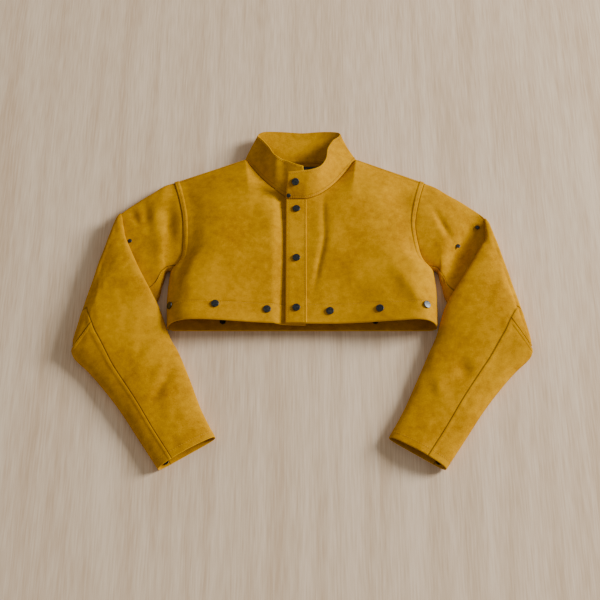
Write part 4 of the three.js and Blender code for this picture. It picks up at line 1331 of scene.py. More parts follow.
@dataclass
class FrontPanel:
    """One front: its hem turn, the raised band along the armhole, and its seams."""

    shape: FrontShape
    body: Body = BODY
    hem_turn: float = 42
    armhole_band: float = 9
    shoulder_band: float = 6
    seam_gap: float = 0.3

    def __post_init__(self) -> None:
        """Work out the panel's width from its centre edge to the shoulder tip."""
        self.width = self.body.half_span + self.shape.past
        self.name = f"front_{self.shape.hand.value}"

    def point(self, share: Array, level: Array) -> Array:
        """Give a point of the panel."""
        return self.body.front_point(self.shape, share, level)

    def normals(self, share: Array, level: Array) -> Array:
        """Give the panel's outward normals, which meet its neighbours' at the seams."""
        body, sign = self.body, self.shape.hand.sign
        share, level = np.broadcast_arrays(np.asarray(share, float), np.asarray(level, float))
        free = outward_normals(self.point, share, level, UP)
        across = share * self.width - self.shape.past
        at_shoulder = body.seam_normals(sign, clamp(across / body.half_span), 1.0)
        at_neck = body.neck_normals(self.shape, body.turn_at(np.minimum(across, body.half_neck), True))
        in_neck = (across < body.half_neck + 1e-6)[..., None]
        top = np.where(in_neck, at_neck, at_shoulder)
        to_top = (1 - level) * body.top_edge(np.maximum(across, 0), True)
        normals = lean_towards(top, free, ease(to_top / 4))
        at_side = body.seam_normals(sign, 1.0, np.minimum(level, body.armpit))
        to_side = (1 - share) * self.width
        under_arm = level <= body.armpit + 1e-9
        share_of_side = np.where(under_arm, 1 - ease(to_side / 4), 0)
        return lean_towards(normals, at_side, share_of_side)

    def relief(self, share: Array, level: Array) -> tuple[Array, Array, Array]:
        """Work out what the sewing does to the outer face.

        Args:
            share: places across.
            level: places up.

        Returns:
            The outer face's rise, the middle's, and how deep in a groove each place is, which also sets
            its painted shade.
        """
        body = self.body
        share, level = np.broadcast_arrays(np.asarray(share, float), np.asarray(level, float))
        across = share * self.width - self.shape.past
        point = self.point(share, level)
        y = point[..., 1]
        to_side = (1 - share) * self.width
        to_top = (1 - level) * body.top_edge(np.maximum(across, 0), True)
        above_armpit = ease((level - body.armpit - 0.01) / 0.03)
        on_shoulder = ease((across - body.half_neck) / 6)
        outer = 0.45 * (1 - ease((y - self.hem_turn) / 1.5)) * ease(y / 2)
        groove = 0.35 * groove_at(y - self.hem_turn - 0.8, 1.0)
        band = raised_band(to_side, self.armhole_band, 1.8) * above_armpit
        outer = outer + 1.5 * band * ease((to_side + 0.4) / 1.8)
        groove = np.maximum(groove, 0.12 * above_armpit * groove_at(to_side - self.armhole_band - 1.4, 0.9))
        band = raised_band(to_top, self.shoulder_band, 1.5)
        outer = outer + 0.6 * band * on_shoulder * ease((to_top + 0.4) / 1.6)
        groove = np.maximum(groove, 0.45 * on_shoulder * groove_at(to_top - self.shoulder_band - 1, 0.9))
        groove = np.maximum(groove, groove_at(to_side, 0.9) * 0.9)
        free = ease((across - body.overlap - 6) / 40) * ease(to_side / 30) * ease(to_top / 40) * ease(y / 20)
        seed = 11 if self.shape.hand is Hand.LEFT else 23
        waves = 1.0 * soft_waves(point[..., 0], y, 58, seed)
        waves = waves + 0.35 * soft_waves(point[..., 0], y, 21, seed + 1)
        return outer - 0.35 * groove, waves * free, groove

    def build(self, finishes: Finishes) -> None:
        """Make the panel and its stitches."""
        body, past = self.body, self.shape.past
        breaks = [-past, *([0.0] if past > 10 else []), body.half_neck, body.half_span]
        share = (steps_between(breaks, 2.7, fringe=13) + past) / self.width
        hem_lines = [self.hem_turn + step for step in (-1.5, -0.4, 0.4, 1.2, 2.4)]
        breaks = [0, *hem_lines, body.armpit_level, body.shoulder_level]
        heights = steps_between(breaks, 2.7, fringe=9)
        level = heights / body.shoulder_level
        share_grid, level_grid = np.meshgrid(share, level)
        outer, middle, groove = self.relief(share_grid, level_grid)
        half = body.wall / 2
        on_hem = 1.3 * (1 - ease((heights - self.hem_turn) / 1.5))[:, None]
        turned = on_hem * ease(share_grid * self.width / 5)
        normals = self.normals(share_grid, level_grid)
        sheet = HideSheet(
            name=f"{self.name}_hide",
            points=self.point(share_grid, level_grid) + normals * middle[..., None],
            normals=normals,
            above=half + outer,
            below=-half - turned,
            # The groove mark paints shade into the hem line, the band edges and the seams.
            marks={"groove": groove},
        )
        sheet.trim(last=self.seam_gap, end=self.seam_gap)
        lay(sheet, [self.name], finishes)
        sew(f"{self.name}_stitches", self.stitch_lines(), finishes)

    def stitch_lines(self) -> list[tuple[Array, Array]]:
        """List the rows of stitches: the hem, the armhole band and the shoulder band."""
        body = self.body
        start = 10 if self.shape.past < 10 else body.overlap - self.shape.past + 10
        across = np.linspace(start, body.half_span - 3, 160)
        share = (across + self.shape.past) / self.width
        level = np.full(across.shape, 0.1)
        for _ in range(6):
            level = level * (self.hem_turn - 1.5) / self.point(share, level)[..., 1]
        lines = [(share, level)]
        up = np.linspace(body.armpit + 0.02, 0.985, 160)
        lines.append((np.full(up.shape, 1 - (self.armhole_band - 2.2) / self.width), up))
        across = np.linspace(body.half_neck + 4, body.half_span - 8, 100)
        share = (across + self.shape.past) / self.width
        lines.append((share, 1 - (self.shoulder_band - 2) / body.top_edge(across, True)))
        runs = []
        for share, level in lines:
            outer, middle, _ = self.relief(share, level)
            normals = self.normals(share, level)
            height = (body.wall / 2 + outer + middle)[..., None]
            runs.append((self.point(share, level) + normals * height, normals))
        return runs


@dataclass
class BackPanel:
    """The back, flat on the floor, with its hem turned in."""

    body: Body = BODY
    hem_turn: float = 42
    seam_gap: float = 0.3

    def normals(self, share: Array, level: Array) -> Array:
        """Give the panel's outward normals, which meet its neighbours' at the seams."""
        body = self.body
        share, level = np.broadcast_arrays(np.asarray(share, float), np.asarray(level, float))
        free = outward_normals(body.back_point, share, level, DOWN)
        across = np.abs(share) * body.half_span
        turn = body.turn_at(np.minimum(across, body.half_neck), False)
        result = free
        for front, mine in ((LEFT_FRONT, share < 0), (RIGHT_FRONT, share >= 0)):
            sign = front.hand.sign
            in_neck = (across < body.half_neck + 1e-6)[..., None]
            shoulder = body.seam_normals(sign, across / body.half_span, 1.0)
            top = np.where(in_neck, body.neck_normals(front, turn), shoulder)
            to_top = (1 - level) * body.top_edge(across, False)
            blended = lean_towards(top, free, ease(to_top / 4))
            side = body.seam_normals(sign, 1.0, np.minimum(level, body.armpit))
            to_side = (1 - np.abs(share)) * body.half_span
            near = np.where(level <= body.armpit + 1e-9, 1 - ease(to_side / 4), 0)
            blended = lean_towards(blended, side, near)
            result = np.where(mine[..., None], blended, result)
        return result

    def build(self, finishes: Finishes) -> None:
        """Make the panel and the stitches of its hem."""
        body = self.body
        half = steps_between([0.0, body.half_neck, body.half_span], 3.4) / body.half_span
        share = np.concatenate([-half[:0:-1], half])
        heights = steps_between([0, self.hem_turn, body.armpit_level, body.shoulder_level], 3.2)
        share_grid, level_grid = np.meshgrid(share, heights / body.shoulder_level)
        points = body.back_point(share_grid, level_grid)
        hem = 1.3 * (1 - ease((points[..., 1] - self.hem_turn) / 1.5))
        to_side = (1 - np.abs(share_grid)) * body.half_span
        inner = hem * ease(to_side / 12)
        # Painted shade along the hem's stitch line, kept in the groove mark.
        groove = 0.8 * groove_at(points[..., 1] - self.hem_turn - 0.8)
        wall = body.wall / 2
        sheet = HideSheet(
            name="back_panel_hide",
            points=points,
            normals=self.normals(share_grid, level_grid),
            above=np.full(share_grid.shape, wall),
            below=-wall - inner,
            marks={"groove": groove},
        )
        sheet.trim(last=self.seam_gap, start=self.seam_gap, end=self.seam_gap)
        lay(sheet, ["back_panel"], finishes)
        line = np.linspace(-0.94, 0.94, 300)
        level = np.full(line.shape, (self.hem_turn - 1.5) / body.shoulder_level)
        for _ in range(6):
            level = level * (self.hem_turn - 1.5) / body.back_point(line, level)[..., 1]
        normals = -self.normals(line, level)
        run = body.back_point(line, level) + normals * (wall + 1.3)
        sew("back_hem_stitches", [(run, normals)], finishes)


@dataclass
class PlacketStrip:
    """The topstitched strip along the right front's edge."""

    front: FrontPanel
    width: float = 42
    margin: float = 1.2
    top_margin: float = 3
    gap: float = 0.5
    thickness: float = 1.4
    stitch_inset: float = 3.4

    def seat(self) -> float:
        """Give the height of the strip's under side over the front's middle."""
        return self.front.body.wall / 2 + self.gap

    def place(self, across: Array, up: Array) -> tuple[Array, Array]:
        """Give the front's share and level at a place on the strip.

        Args:
            across: distance from the strip's edge at the closure.
            up: from its lower end, 0, to its upper end, 1.

        Returns:
            The share and the level.
        """
        body = self.front.body
        level = between(0.004, 1 - self.top_margin / (body.neck_level - body.front_neck_depth), up)
        distance = self.margin + across - body.overlap
        return body.front_share(self.front.shape, distance, level), level

    def build(self, finishes: Finishes) -> None:
        """Make the strip and its two rows of stitches."""
        length = self.front.body.neck_level - self.front.body.front_neck_depth
        across = steps_between([0.0, self.width / 2, self.width], 2.0, fine=0.7, fringe=2.8)
        up = steps_between([0.0, 42.0, length], 2.6) / length
        across_grid, up_grid = np.meshgrid(across, up)
        share, level = self.place(across_grid, up_grid)
        normals = self._normals(share, level)
        from_far_edge = self.width - across_grid
        dip = groove_at(across_grid - self.stitch_inset, 1.0)
        dip = dip + groove_at(from_far_edge - self.stitch_inset, 1.0)
        edge = np.minimum(across_grid, self.width - across_grid)
        swell = 0.25 * ease((edge - self.stitch_inset) / 5)
        sheet = HideSheet(
            name="placket_strip_hide",
            points=self.front.point(share, level),
            normals=normals,
            above=self.seat() + self.thickness + swell - 0.3 * dip,
            below=np.full(share.shape, self.seat()),
            # The groove mark paints shade into the dips along both rows of stitches.
            marks={"groove": 0.6 * dip},
        )
        lay(sheet, ["placket_strip"], finishes)
        runs = []
        for inset in (self.stitch_inset, self.width - self.stitch_inset):
            line = np.linspace(0.01, 0.99, 200)
            share, level = self.place(np.full(line.shape, inset), line)
            normals = self._normals(share, level)
            height = self.seat() + self.thickness - 0.2
            runs.append((self.front.point(share, level) + normals * height, normals))
        sew("placket_strip_stitches", runs, finishes)

    def _normals(self, share: Array, level: Array) -> Array:
        """Give the front's normals under the strip."""
        return outward_normals(self.front.point, share, level, UP)


@dataclass
class Collar:
    """The stand collar: two plies of hide, stitched along the neck seam and along the top."""

    body: Body = BODY
    thickness: float = 2.4
    neck_band: float = 9
    top_inset: float = 5
    seam_gap: float = 0.3

    def grid(self, front: FrontShape) -> tuple[Array, Array]:
        """Give one side's turns and rises on a grid, from the back's centre to its front end."""
        body = self.body
        end = float(body.turn_at(np.array(-front.past, float), True))
        beside, before = np.linspace(90, end - 3, 48)[1:], np.linspace(end - 3, end, 7)[1:]
        turns = np.concatenate([np.linspace(0, 90, 46), beside, before])
        rises = steps_between([0.0, self.neck_band, body.collar_height], 2.5, fine=0.8, fringe=4)
        rises = rises / body.collar_height
        return np.meshgrid(turns, rises, indexing="ij")

    def normals(self, front: FrontShape, turn: Array, rise: Array) -> Array:
        """Give the collar's outward normals, shared with the body at the neck seam."""
        free = self.body.collar_normals(front, turn, rise)
        share = ease(rise * self.body.collar_height / 6)
        return lean_towards(self.body.neck_normals(front, turn), free, share)

    def relief(self, rise: Array) -> tuple[Array, Array]:
        """Give the outer face's rise and how deep in a groove each place is, which also sets its painted
        shade.
        """
        up = rise * self.body.collar_height
        down = (1 - rise) * self.body.collar_height
        groove = 0.35 * groove_at(up - self.neck_band) + 0.25 * groove_at(down - self.top_inset)
        groove = groove + 0.9 * groove_at(up, 1.2)
        band = 0.5 * raised_band(up, self.neck_band) * ease(up / 2.5)
        return band - 0.3 * groove, np.minimum(groove, 1)

    def build(self, finishes: Finishes) -> None:
        """Make the collar and its rows of stitches."""
        columns = []
        for front in (LEFT_FRONT, RIGHT_FRONT):
            turn, rise = self.grid(front)
            points = self.body.collar_point(front, turn, rise)
            normals = self.normals(front, turn, rise)
            if front.hand is Hand.LEFT:
                columns.append((points[::-1], normals[::-1], rise[::-1]))
            else:
                columns.append((points[1:], normals[1:], rise[1:]))
        points, normals, rise = (np.concatenate([column[k] for column in columns]) for k in range(3))
        outer, groove = self.relief(rise)
        half = self.thickness / 2
        sheet = HideSheet(
            name="collar_hide",
            points=points,
            normals=normals,
            above=half + outer,
            below=np.full(rise.shape, -half),
            # The groove mark paints shade into the neck seam and the stitch lines.
            marks={"groove": groove},
            marked_inside=False,
        )
        sheet.trim(start=self.seam_gap)
        lay(sheet, ["collar"], finishes)
        runs = []
        height = self.body.collar_height
        for front in (LEFT_FRONT, RIGHT_FRONT):
            end = float(self.body.turn_at(np.array(-front.past, float), True))
            line = np.linspace(0, end - 1.5, 300)
            for level in (3.2 / height, (self.neck_band - 1.8) / height, 1 - (self.top_inset - 1) / height):
                rise_line = np.full(line.shape, level)
                normals = self.normals(front, line, rise_line)
                lift = (half + self.relief(rise_line)[0])[..., None]
                runs.append((self.body.collar_point(front, line, rise_line) + normals * lift, normals))
        sew("collar_stitches", runs, finishes)


@dataclass
class NeckLabel:
    """The dark woven label inside the back of the neck, left without any lettering."""

    body: Body = BODY
    gap: float = 0.35
    thickness: float = 0.8

    def build(self, finishes: Finishes) -> None:
        """Make the label on the back's inner side, in the place of its solid."""
        low, high = (np.array(corner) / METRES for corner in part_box("neck_label"))
        low[1] -= HEM_Y / METRES
        high[1] -= HEM_Y / METRES
        across = np.linspace(low[0], high[0], 40)
        body = self.body
        y = np.linspace(low[1] + 0.4, high[1] - 0.4, 24)
        across_grid, y_grid = np.meshgrid(across, y)
        share = across_grid / body.half_span
        level = y_grid / body.top_edge(np.abs(across_grid), False)
        normals = outward_normals(body.back_point, share, level, UP)
        seat = body.wall / 2 + self.gap
        sheet = HideSheet(
            name="neck_label_cloth",
            points=body.back_point(share, level),
            normals=normals,
            above=np.full(share.shape, seat + self.thickness),
            below=np.full(share.shape, seat),
        )
        piece = dress(sheet.build(), finishes.label)
        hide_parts("neck_label")
        width, length = sheet.flat_size()


# The sleeves


class SleevePiece(Enum):
    """The three pieces that a sleeve is sewn from."""

    UPPER = "upper_sleeve"
    UNDER = "under_sleeve"
    FOREARM = "forearm_panel"


@dataclass
class Sleeve:
    """One sleeve: the upper piece over its whole length, the under sleeve, and the forearm panel."""

    shape: SleeveShape
    spacing: float = 3.0
    cuff_turn: float = 16
    seam_band: float = 5
    elbow_band: float = 7
    seam_inset: float = 3.6
    seam_gap: float = 0.3
    elbow_gap: float = 0.4

    def __post_init__(self) -> None:
        """Space the rows along the sleeve by their real distance."""
        fine = np.linspace(0, self.shape.last, 1901)
        inner, outer = self.shape.point(fine, 0.0), self.shape.point(fine, 1.0)
        steps = np.maximum(*(np.linalg.norm(np.diff(edge, axis=0), axis=-1) for edge in (inner, outer)))
        self.run = np.concatenate([[0], np.cumsum(steps)])
        self.fine = fine
        self.hand = self.shape.front.hand

    def sections(self, first: float, last: float) -> Array:
        """List the rows between two sections, evenly spaced."""
        start, end = np.interp([first, last], self.fine, self.run)
        return np.interp(steps_between([start, end], self.spacing), self.run, self.fine)

    @staticmethod
    def spread(end: float, count: int) -> Array:
        """Space columns over a face, from an edge to a turn, as shares of it: finer beside the seam."""
        turns = end * np.linspace(0, 1, 3000) ** 3
        x = 75 * (1 + np.cos(math.pi * turns))
        z = 20 * np.sin(math.pi * turns) ** 0.55
        run = np.concatenate([[0], np.cumsum(np.hypot(np.diff(x), np.diff(z)))])
        beside_seam = run[-1] - np.array([6, 4.8, 3.8, 2.8, 2, 1.3, 0.6, 0])
        places = np.concatenate([np.linspace(0, run[-1] - 8, count), beside_seam])
        return np.interp(places, run, turns) / end

    def laid(self, section: Array, around: Array) -> tuple[Array, Array]:
        """Give the sleeve's points with their dents and folds, and the normals."""
        point, normals = self.shape.point(section, around), self.shape.normals(section, around)
        return point + normals * self.shape.rise(section, point, normals)[..., None], normals

    def stretch(self, around: Array) -> Array:
        """Give the real length of one section at the elbow, by the turn round it, in millimetres."""
        ahead = self.shape.point(self.shape.elbow + 0.1, around)
        return np.linalg.norm(ahead - self.shape.point(self.shape.elbow - 0.1, around), axis=-1) / 0.2

    def turns(self, piece: SleevePiece, section: Array) -> Array:
        """Give each row's turns round the sleeve, one column for each.

        Args:
            piece: which of the three pieces.
            section: the rows.

        Returns:
            The turns, a row for each section.
        """
        front, back = self.shape.seam_turn(1, section)[:, None], self.shape.seam_turn(2, section)[:, None]
        if piece is SleevePiece.UPPER:
            share = self.spread(0.7, 46)[None]
            return np.concatenate([-(share * back)[:, :0:-1], share * front], axis=1)
        share = self.spread(0.3, 20)[None]
        on_front = 1 - share * (1 - front)
        on_back = 1 + share * (1 - back)
        return np.concatenate([on_front[:, ::-1], on_back[:, 1:]], axis=1)

    def relief(self, section: Array, around: Array) -> tuple[Array, Array]:
        """Work out what the seams do to the outer face.

        Args:
            section: places along.
            around: places round.

        Returns:
            The outer face's rise, and how deep in a groove each place is, which also sets its painted shade.
        """
        on_front = (around >= 0) & (around <= 1)
        folded = np.where(around > 1, 2 - around, np.abs(around))
        seam = np.where(on_front, self.shape.seam_turn(1, section), self.shape.seam_turn(2, section))
        across = 180 * (folded - seam)
        from_seam = np.abs(across)
        groove = groove_at(from_seam, 0.9)
        run = np.interp(section, self.fine, self.run)
        to_cuff = self.run[-1] - run
        groove = np.maximum(groove, groove_at(run, 1.2))
        groove = np.maximum(groove, 0.25 * groove_at(to_cuff - self.cuff_turn, 1.0))
        past_elbow = (section - self.shape.elbow) * self.stretch(around)
        groove = np.maximum(groove, groove_at(past_elbow, 1.5) * (across > 0))
        outer = 0.7 * raised_band(from_seam, self.seam_band, 2.5) * ease(from_seam / 1.6) * (across > 0)
        lapped = raised_band(past_elbow, self.elbow_band, 2.5) * ease(past_elbow / 1.6) * ease(across / 6)
        outer = np.maximum(outer, 0.9 * lapped)
        outer = outer + 0.3 * raised_band(to_cuff, self.cuff_turn) - 0.5 * groove
        return outer, groove

    def build_piece(self, piece: SleevePiece, finishes: Finishes) -> None:
        """Make one of the sleeve's pieces."""
        shape = self.shape
        first = shape.elbow if piece is SleevePiece.FOREARM else 0
        last = shape.elbow if piece is SleevePiece.UNDER else shape.last
        section = self.sections(first, last)
        around = self.turns(piece, section)
        section_grid = np.broadcast_to(section[:, None], around.shape)
        outer, groove = self.relief(section_grid, around)
        half = shape.body.wall / 2
        points, normals = self.laid(section_grid, around)
        off_floor = ease((normals[..., 2] + 0.5) / 0.5)
        sheet = HideSheet(
            name=f"{piece.value}_{self.hand.value}_hide",
            points=points,
            normals=normals,
            above=half + outer * off_floor,
            below=np.full(around.shape, -half),
            # The groove mark paints shade into the seams, the elbow seam and the cuff's turn.
            marks={"groove": groove},
        )
        gaps = {"start": self.seam_gap, "end": self.seam_gap}
        gaps["first"] = self.elbow_gap if piece is SleevePiece.FOREARM else self.seam_gap
        gaps["last"] = self.elbow_gap if piece is SleevePiece.UNDER else 0
        sheet.trim(**gaps)
        parts = ["upper_sleeve", "lower_sleeve"] if piece is SleevePiece.UPPER else [piece.value]
        lay(sheet, [f"{part}_{self.hand.value}" for part in parts], finishes)

    def stitch_lines(self) -> list[tuple[Array, Array]]:
        """List the rows of stitches: beside the front seam, along the elbow seam and round the cuff."""
        shape = self.shape
        half = shape.body.wall / 2
        places = []
        section = np.interp(np.linspace(self.run[0] + 12, self.run[-1] - 2, 500), self.run, self.fine)
        seam = shape.seam_turn(1, section)
        scale = np.linalg.norm(shape.point(section, seam + 0.01) - shape.point(section, seam), axis=-1) / 0.01
        places.append((section, seam + self.seam_inset / scale))
        cuff = np.interp(self.run[-1] - self.cuff_turn + 1.5, self.run, self.fine)
        seam = float(shape.seam_turn(1, np.array(cuff)))
        back = float(shape.seam_turn(2, np.array(cuff)))
        turns = np.linspace(-back + 0.02, seam - 0.02, 160)
        places.append((np.full(turns.shape, cuff), turns))
        turns = np.linspace(seam + 0.02, 2 - back - 0.02, 70)
        places.append((np.full(turns.shape, cuff), turns))
        for start, end in ((float(shape.seam_turn(1, np.array(shape.elbow))) + 0.03, 0.985), (1.02, 1.3)):
            turns = np.linspace(start, end, 60)
            places.append((shape.elbow + self.seam_inset / self.stretch(turns), turns))
        runs = []
        for section, around in places:
            outer, _ = self.relief(section, around)
            points, normals = self.laid(section, around)
            points = points + normals * (half + outer * ease((normals[:, 2] + 0.5) / 0.5))[:, None]
            points[:, 2] = np.maximum(points[:, 2], 1.2)
            runs.append((points, normals))
        return runs

    def build(self, finishes: Finishes) -> None:
        """Make all three pieces and the sleeve's stitches."""
        for piece in SleevePiece:
            self.build_piece(piece, finishes)
        sew(f"sleeve_{self.hand.value}_stitches", self.stitch_lines(), finishes)


# Snaps and rivets


class RoundKind(Enum):
    """The kinds of round metal pieces, each with its radius and height in millimetres."""

    CAP = (8.0, 2.1)
    SOCKET = (6.2, 2.0)
    RIVET = (4.6, 1.6)


@dataclass(frozen=True)
class RoundFastener:
    """A pressed metal cap, socket or rivet, modelled once and copied to each of its places."""

    kind: RoundKind
    sides: int = 40

    def model(self) -> bpy.types.Object:
        """Model it standing on the origin.

        Returns:
            The model, which is copied and then removed.
        """
        radius, height = (value * METRES for value in self.kind.value)
        bpy.ops.object.select_all(action="DESELECT")
        bpy.ops.mesh.primitive_cylinder_add(
            vertices=self.sides, radius=radius, depth=height, location=(0, 0, height / 2)
        )
        bpy.ops.object.transform_apply(location=True, rotation=False, scale=False)
        model = bpy.context.object
        model.name = f"{self.kind.name.lower()}_model"
        self._shape_top(model, radius, height)
        rounding = model.modifiers.new("pressed_edge", "BEVEL")
        rounding.width = height * 0.3
        rounding.segments = 4
        rounding.limit_method = "ANGLE"
        rounding.angle_limit = math.radians(50)
        bpy.ops.object.modifier_apply(modifier=rounding.name)
        bpy.ops.object.shade_smooth_by_angle(angle=math.radians(40))
        return model

    def _shape_top(self, model: bpy.types.Object, radius: float, height: float) -> None:
        """Press the ring, the hollow and the button into the top."""
        steps = {
            RoundKind.CAP: ((0.16, 0.12), (0.2, 0.14), (0.26, 0.12), (0.2, 0.05)),
            RoundKind.SOCKET: ((0.24, 0.0), (0.12, -0.45), (0.2, 0.0)),
            RoundKind.RIVET: ((0.3, 0.12), (0.3, 0.1)),
        }[self.kind]
        mesh = model.data
        for polygon in mesh.polygons:
            polygon.select = polygon.normal.z > 0.9
        bpy.ops.object.mode_set(mode="EDIT")
        bpy.ops.mesh.select_mode(type="FACE")
        for inset, lift in steps:
            bpy.ops.mesh.inset(thickness=inset * radius)
            bpy.ops.transform.translate(value=(0, 0, lift * height))
        bpy.ops.object.mode_set(mode="OBJECT")

    def copy_to(self, model: bpy.types.Object, name: str, place: Array, normal: Array) -> bpy.types.Object:
        """Copy the model to a place on the hide.

        Args:
            model: the model.
            name: the copy's name.
            place: where its base lies, in garment millimetres.
            normal: the direction that it faces.

        Returns:
            The copy, with its own mesh.
        """
        mesh = model.data.copy()
        mesh.name = name
        turn = Vector((0, 0, 1)).rotation_difference(Vector(normal)).to_matrix().to_4x4()
        mesh.transform(Matrix.Translation(Vector(to_frame(place))) @ turn)
        copy = bpy.data.objects.new(name, mesh)
        bpy.context.scene.collection.objects.link(copy)
        return copy


@dataclass
class Hardware:
    """All snaps and rivets, each on the surface that carries it and in the place of its solid."""

    left: FrontPanel
    right: FrontPanel
    strip: PlacketStrip
    collar: Collar
    sleeves: dict[Hand, Sleeve]
    lay_gap: float = 0.35
    rivet_gap: float = 0.8
    placket: tuple[float, ...] = (0.9094, 0.5029, 0.1147)
    hem_left: tuple[tuple[float, float], ...] = ((0.975, 0.114), (0.64, 0.097), (0.259, 0.08))
    hem_right: tuple[tuple[float, float], ...] = ((0.206, 0.074), (0.574, 0.078), (0.915, 0.094))
    back_hem: tuple[float, ...] = (-0.59, -0.21, 0.166, 0.545)
    back_hem_level: float = 0.052
    collar_snap: tuple[float, float] = (189, 0.62)
    collar_stud: tuple[float, float] = (194, 0.14)
    sleeve_rivets: tuple[tuple[str, Hand, float, float], ...] = (
        ("sleeve_rivet_left", Hand.LEFT, 3.332, 0.395),
        ("sleeve_rivet_right_1", Hand.RIGHT, 3.5, 0.25),
        ("sleeve_rivet_right_2", Hand.RIGHT, 2.876, 0.46),
    )
    cuff_snap: tuple[float, float] = (0.13, 0.74)

    def build(self, finishes: Finishes) -> None:
        """Make every round piece."""
        self.finishes = finishes
        self.models = {kind: RoundFastener(kind).model() for kind in RoundKind}
        body = self.left.body
        wall = body.wall / 2
        on_strip = self.strip.seat() + self.strip.thickness + self.lay_gap
        closure = body.neck_level - body.front_neck_depth
        for number, up in enumerate(self.placket, 1):
            across = self.strip.margin + self.strip.width / 2 - body.overlap
            place = self._place_on_front(self.right, across, up * closure)
            normal = self._front_normal(self.right)
            self._seat(f"placket_snap_{number}", RoundKind.CAP, self.right.point, normal, place, on_strip)
        for panel, rows in ((self.left, self.hem_left), (self.right, self.hem_right)):
            for number, (across, up) in enumerate(rows, 1):
                place = self._place_on_front(panel, across * body.half_chest, up * body.shoulder_level)
                name = f"hem_snap_{panel.shape.hand.value}_{number}"
                normal = self._front_normal(panel)
                self._seat(name, RoundKind.CAP, panel.point, normal, place, wall + self.lay_gap)
        inward = lambda a, b: outward_normals(body.back_point, a, b, UP)
        for number, across in enumerate(self.back_hem, 1):
            place = (across, self.back_hem_level)
            on_hem = wall + self.lay_gap + 0.6
            self._seat(f"back_hem_snap_{number}", RoundKind.SOCKET, body.back_point, inward, place, on_hem)
        on_collar = self.collar.thickness / 2 + self.lay_gap
        point = lambda a, b: body.collar_point(RIGHT_FRONT, a, b)
        normal = lambda a, b: body.collar_normals(RIGHT_FRONT, a, b)
        self._seat("collar_snap", RoundKind.CAP, point, normal, self.collar_snap, on_collar)
        self._seat("collar_stud", RoundKind.RIVET, point, normal, self.collar_stud, on_collar)
        for name, hand, section, around in self.sleeve_rivets:
            sleeve = self.sleeves[hand]
            surface = lambda a, b, sleeve=sleeve: sleeve.laid(a, b)[0]
            normals = sleeve.shape.normals
            self._seat(name, RoundKind.RIVET, surface, normals, (section, around), wall + self.rivet_gap)
        for hand, sleeve in self.sleeves.items():
            shape = sleeve.shape
            before, around = self.cuff_snap
            inside = lambda a, b, shape=shape: -shape.normals(a, b)
            place = (shape.last - before, around)
            in_cuff = wall + self.rivet_gap
            self._seat(f"cuff_snap_{hand.value}", RoundKind.SOCKET, shape.point, inside, place, in_cuff)
        for model in self.models.values():
            bpy.data.objects.remove(model)

    def _place_on_front(self, panel: FrontPanel, across: float, y: float) -> tuple[float, float]:
        """Find a front's share and level at a distance from the centre and a height up from the hem."""
        body = panel.body
        share, level = 0.5, y / body.shoulder_level
        for _ in range(8):
            share = float(body.front_share(panel.shape, np.array(across), np.array(level)))
            top_across = between(-panel.shape.past, body.half_span, share)
            level = y / float(body.top_edge(np.array(max(top_across, 0.0)), True))
        return share, level

    def _front_normal(self, panel: FrontPanel) -> PointAt:
        """Give the function that finds a front's normals."""
        return lambda a, b: outward_normals(panel.point, a, b, UP)

    def _seat(
        self,
        name: str,
        kind: RoundKind,
        point_at: PointAt,
        normal_at: PointAt,
        place: tuple[float, float],
        clearance: float,
    ) -> None:
        """Seat a round piece on a face, lifted until its whole base clears the curve below it.

        Args:
            name: the frame's node that it stands for.
            kind: which round piece.
            point_at: the surface that carries it.
            normal_at: that surface's normals.
            place: where on the surface.
            clearance: from the surface's middle to the piece's base.
        """
        a, b = (np.array(value, float) for value in place)
        point, normal = point_at(a, b), normal_at(a, b)
        scale_a = np.linalg.norm(point_at(a + 0.01, b) - point) / 0.01
        scale_b = np.linalg.norm(point_at(a, b + 0.01) - point) / 0.01
        angles = np.linspace(0, 2 * math.pi, 24, endpoint=False)
        radius = kind.value[0]
        near = point_at(a + radius * np.cos(angles) / scale_a, b + radius * np.sin(angles) / scale_b)
        rise = max(0.0, float(((near - point) @ normal).max()))
        seat = point + normal * (clearance + rise)
        piece = RoundFastener(kind).copy_to(self.models[kind], f"{name}_metal", seat, normal)
        dress(piece, self.finishes.metal)
        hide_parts(name)


# The studio


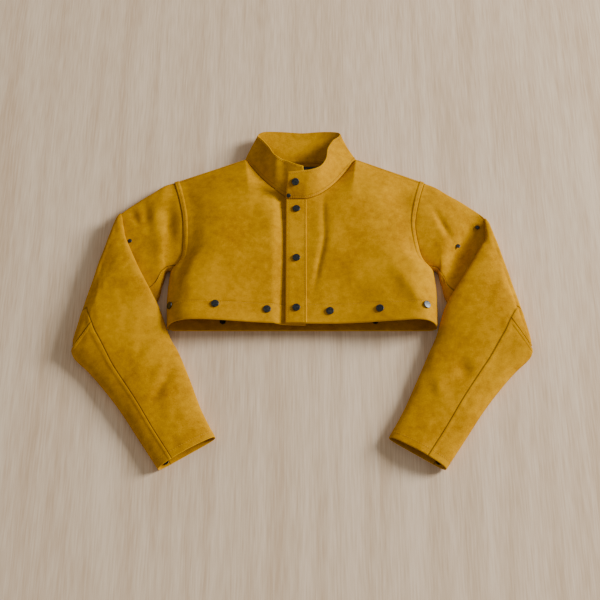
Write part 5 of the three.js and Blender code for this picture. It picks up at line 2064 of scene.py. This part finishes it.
@dataclass(frozen=True)
class Studio:
    """A pale oak board, low and soft light from the right, and the camera."""

    lens_mm: float = 75.6
    distance_mm: float = 2633.4
    elevation: float = 62
    aim: tuple[float, float] = (-4.2, -18.9)
    floor_size: float = 9.0
    key_place: tuple[float, float, float] = (6.7, 1.9, 3.1)
    key_size: float = 2.6
    key_watts: float = 980
    key_colour: str = "#fffaf4"
    fill_colour: str = "#fff2e2"
    fill_strength: float = 0.34

    def build(self) -> None:
        """Set up the camera, the lights and the floor."""
        self._camera()
        self._lights()
        bpy.ops.object.select_all(action="DESELECT")
        bpy.ops.mesh.primitive_plane_add(size=self.floor_size, location=(0, 0, 0))
        floor = bpy.context.object
        floor.name = "floor"
        floor.data.materials.append(OakBoard().material())
        floor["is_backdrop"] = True

    def _camera(self) -> None:
        """Stand the camera over the hem, looking down at the garment."""
        camera = bpy.data.cameras.new("camera")
        camera.lens = self.lens_mm
        camera.sensor_width = 36
        stand = bpy.data.objects.new("camera", camera)
        angle = math.radians(self.elevation)
        x, y = (value * METRES for value in self.aim)
        distance = self.distance_mm * METRES
        stand.location = (x, y - distance * math.cos(angle), distance * math.sin(angle))
        stand.rotation_euler = (math.pi / 2 - angle, 0, 0)
        bpy.context.scene.collection.objects.link(stand)
        bpy.context.scene.camera = stand

    def _lights(self) -> None:
        """Hang one broad lamp low to the right, and fill the shadows from all around."""
        light = bpy.data.lights.new("key_lamp", "AREA")
        light.size = self.key_size
        light.energy = self.key_watts
        light.color = linear(self.key_colour)[:3]
        lamp = bpy.data.objects.new("key_lamp", light)
        lamp.location = self.key_place
        lamp.rotation_euler = (-Vector(self.key_place)).to_track_quat("-Z", "Y").to_euler()
        bpy.context.scene.collection.objects.link(lamp)
        world = bpy.data.worlds.new("studio_fill")
        world.use_nodes = True
        background = world.node_tree.nodes["Background"]
        background.inputs["Color"].default_value = linear(self.fill_colour)
        background.inputs["Strength"].default_value = self.fill_strength
        bpy.context.scene.world = world


def main() -> None:
    """Build the studio and the garment."""
    logging.basicConfig(level=logging.INFO, format="%(message)s")
    Studio().build()
    finishes = Finishes.make()
    BackPanel().build(finishes)
    left, right = FrontPanel(LEFT_FRONT), FrontPanel(RIGHT_FRONT)
    left.build(finishes)
    right.build(finishes)
    strip = PlacketStrip(right)
    strip.build(finishes)
    collar = Collar()
    collar.build(finishes)
    NeckLabel().build(finishes)
    sleeves = {shape.front.hand: Sleeve(shape) for shape in (LEFT_SLEEVE, RIGHT_SLEEVE)}
    for sleeve in sleeves.values():
        sleeve.build(finishes)
    Hardware(left, right, strip, collar, sleeves).build(finishes)
    boxes = {"cad": CAD_BOX, "visual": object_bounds()}
    {name: [list(corner) for corner in box] for name, box in boxes.items()}
    log.info("size written")


if __name__ == "__main__":
    main()
